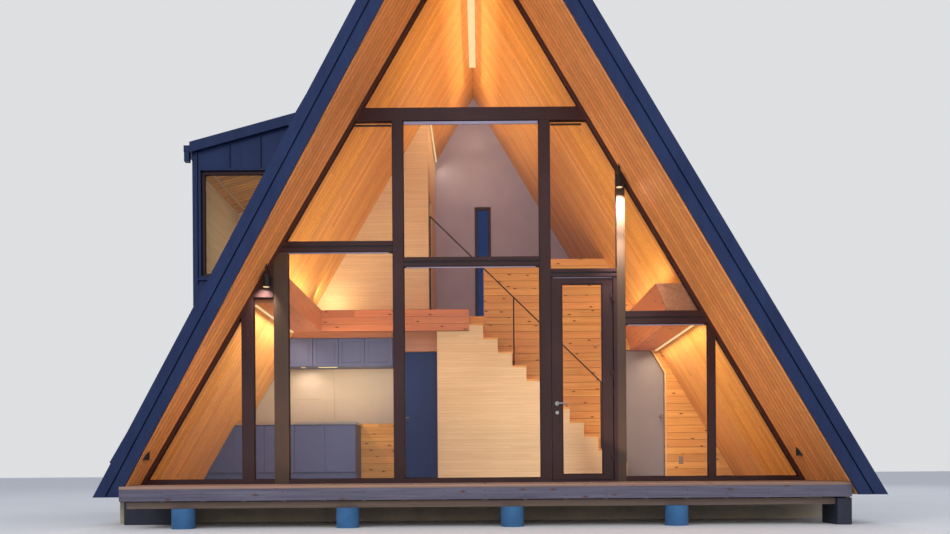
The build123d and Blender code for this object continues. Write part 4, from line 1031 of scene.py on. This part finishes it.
def stage_floor():
    mesh = bpy.data.meshes.new("stage_floor")
    mesh.from_pydata([(x, y, -0.001) for x, y in corners(-90, 90, -60, 120)], [], [(0, 1, 2, 3)])
    s = Shader("stage_floor")
    tone = s.ramp(s.noise(s.where, 0.6, 3.0), [(0.3, (0.70, 0.70, 0.71)), (0.7, (0.73, 0.73, 0.74))])
    mesh.materials.append(s.finish(Base_Color=tone, Roughness=0.8))
    linked("stage_floor", mesh)


def lamp(name, where, aim, size, power, colour=(1.0, 1.0, 1.0), deep=None, fan=pi):
    """A soft lamp. A given depth lies along Y, for lamps that shine straight up or down."""
    data = bpy.data.lights.new(name, "AREA")
    data.energy = power
    data.color = colour
    data.shape = "RECTANGLE" if deep else "SQUARE"
    data.size = size
    data.spread = fan
    if deep:
        data.size_y = deep
    o = linked(name, data)
    back = (Vector(where) - Vector(aim)).normalized()
    side = Vector((0, 1, 0)).cross(back) if deep else Vector((0, 0, 1)).cross(back)
    side.normalize()
    turn = Matrix((side, back.cross(side), back)).transposed()
    o.matrix_world = Matrix.Translation(where) @ turn.to_4x4()
    o.visible_camera = False
    o.visible_glossy = False


WARM = (1.0, 0.72, 0.42)


def outside_lamps():
    """Even light on the whole object, from the front, both sides and the back."""
    lamp("key_light", (-11, -17, 13), (0, 0, 3), 9.0, 1500.0)
    lamp("fill_light", (14, -14, 8), (0, 0, 3), 9.0, 600.0)
    lamp("back_light", (4, 17, 12), (0, 0, 3), 9.0, 800.0)
    lamp("low_fill", (0, -15, 4.2), (0, 0, 3.6), 6.0, 210.0, (1.0, 0.93, 0.84), fan=1.9)


def room_lamps():
    """Warm light on the ceilings, the rooms and the loft."""
    lamp("ridge_glow", (0, 0, 7.25), (0, 0, 0), 0.10, 17.0, WARM, 3.9)
    lamp("ridge_top_glow", (0, 0.3, 6.75), (0, 0.3, 9), 0.3, 9.0, WARM, 4.2)
    lamp("rear_ridge_glow", (0, 2.35, 6.45), (0, 2.35, 9), 0.25, 2.6, WARM, 1.3)
    lamp("ridge_upward_glow", (0, 0.2, 5.4), (0, 0.2, 9.0), 0.5, 27.0, WARM, 4.2)
    lamp("room_glow", (0.2, -1.2, 2.72), (0.2, -1.2, 0.5), 2.4, 14.0, WARM, 1.2)
    lamp("room_upward_glow", (0, -1.7, 1.0), (0, -1.7, 6.0), 2.2, 32.0, WARM, 0.6)
    lamp("room_front_glow", (0.2, -2.1, 1.9), (0.2, 0.8, 1.8), 1.6, 6.0, WARM)
    for name, side, ceiling_power in (("left", -1, 11.0), ("right", 1, 13.0)):
        lamp(name + "_ceiling_glow", (side * 0.2, -1.2, 3.9), (side * 2.2, -1.2, 4.9), 0.8, ceiling_power,
             WARM)
    lamp("left_slope_glow", (-1.3, -0.9, 1.1), (-3.5, -0.9, 1.9), 0.9, 17.0, WARM)
    lamp("right_slope_glow", (1.6, -0.9, 1.1), (3.6, -0.9, 1.9), 0.9, 17.0, WARM)
    lamp("upper_room_glow", (-2.6, 1.9, 4.6), (-3.6, 1.9, 4.2), 0.5, 11.0, (1.0, 0.82, 0.6))
    lamp("return_glow", (-0.66, 2.0, 6.2), (0.5, 2.0, 5.0), 0.04, 6.0, WARM, 2.2)


def strip_lamps():
    """Light from the strips in the coves and at the slopes' feet, and around the kitchen."""
    lamp("right_cove_glow", (2.40, -0.6, 3.02), (2.25, -0.6, 5.0), 0.06, 9.0, WARM, 2.6)
    lamp("left_cove_glow", (-2.40, -0.9, 3.12), (-2.2, -0.9, 5.0), 0.06, 10.5, WARM, 2.0)
    lamp("right_low_glow", (2.78, -0.6, 2.44), (3.3, -0.6, 0.5), 0.06, 26.0, WARM, 2.6)
    lamp("left_low_glow", (-2.66, -0.9, 2.66), (-3.3, -0.9, 0.5), 0.06, 30.0, (1.0, 0.78, 0.52), 2.0)
    lamp("left_wall_glow", (-2.30, 0.42, 3.22), (-2.05, 0.83, 3.60), 0.15, 4.0, (1.0, 0.80, 0.46))
    lamp("cupboard_glow", (-2.75, 0.05, 2.62), (-2.62, 0.48, 2.46), 0.1, 0.8, WARM)
    lamp("kitchen_glow", (-2.62, 0.60, 2.2), (-2.62, 0.66, 1.0), 0.25, 2.6, (1.0, 0.80, 0.56), 0.05)
    lamp("under_loft_glow", (-1.9, -0.2, 1.9), (-1.9, 0.35, 2.8), 1.0, 15.0, WARM)


def porch_lamps():
    """Light from the two spots down the posts, and warm light on the soffits."""
    for name, x, _, level in SPOTS:
        lamp(name + "_spot_glow", (x, SPOT_FRONT, level), (x, SPOT_FRONT, 0.4), 0.07, 10.0, WARM)
    lamp("left_post_glow", (-2.57, -2.44, 2.89), (-2.57, GLAZING, 2.72), 0.06, 4.5, (1.0, 0.90, 0.72),
         fan=1.4)
    lamp("right_post_glow", (1.826, -2.44, 4.08), (1.826, GLAZING, 3.80), 0.06, 34.0, (1.0, 0.95, 0.85),
         fan=1.2)
    lamp("right_post_low_glow", (1.826, -2.50, 3.64), (1.826, GLAZING, 3.18), 0.08, 6.0, (1.0, 0.95, 0.8),
         fan=1.1)
    lamp("porch_left_glow", (-1.7, -2.9, 0.9), (-3.1, -2.9, 3.4), 1.1, 16.0, WARM)
    lamp("porch_right_glow", (1.7, -2.9, 0.9), (3.1, -2.9, 3.4), 1.1, 16.0, WARM)
    lamp("porch_high_glow", (0.3, -2.95, 3.6), (1.9, -2.95, 5.4), 0.8, 7.0, WARM)


def surroundings():
    """A cool even light, which looks white to the camera, in glass and in reflections."""
    world = bpy.data.worlds.new("studio")
    bpy.context.scene.world = world
    world.use_nodes = True
    tree = world.node_tree
    tree.nodes.clear()

    def background(colour, strength):
        node = tree.nodes.new("ShaderNodeBackground")
        node.inputs[0].default_value = rgb(colour)
        node.inputs[1].default_value = strength
        return node.outputs[0]

    def larger(a, b):
        node = tree.nodes.new("ShaderNodeMath")
        node.operation = "MAXIMUM"
        tree.links.new(a, node.inputs[0])
        tree.links.new(b, node.inputs[1])
        return node.outputs[0]

    ray = tree.nodes.new("ShaderNodeLightPath").outputs
    seen = larger(larger(ray["Is Camera Ray"], ray["Is Glossy Ray"]), ray["Is Transmission Ray"])
    mix = tree.nodes.new("ShaderNodeMixShader")
    tree.links.new(seen, mix.inputs[0])
    tree.links.new(background((0.80, 0.86, 1.0), 0.62), mix.inputs[1])
    tree.links.new(background((0.86, 0.87, 0.89), 0.85), mix.inputs[2])
    out = tree.nodes.new("ShaderNodeOutputWorld")
    tree.links.new(mix.outputs[0], out.inputs[0])


dress_cad_nodes()
place_camera()
soffit_boards()
partition_boards()
glass_beads([outline_of(points) for points in islands("glass_panes")], 0.008, 0.013,
            "outer_glazing_beads", "inner_glazing_beads")
transom_faces()
head_slots()
light_strips()
wall_cupboards()
base_cupboards()
splash_panels()
doorway_trim()
deck_fixings()
back_cladding()
dormer_seams()
dormer_lining()
gutter_ends()
front_door_details()
stage_floor()
outside_lamps()
room_lamps()
strip_lamps()
porch_lamps()
surroundings()
bpy.context.scene.view_settings.view_transform = "Standard"
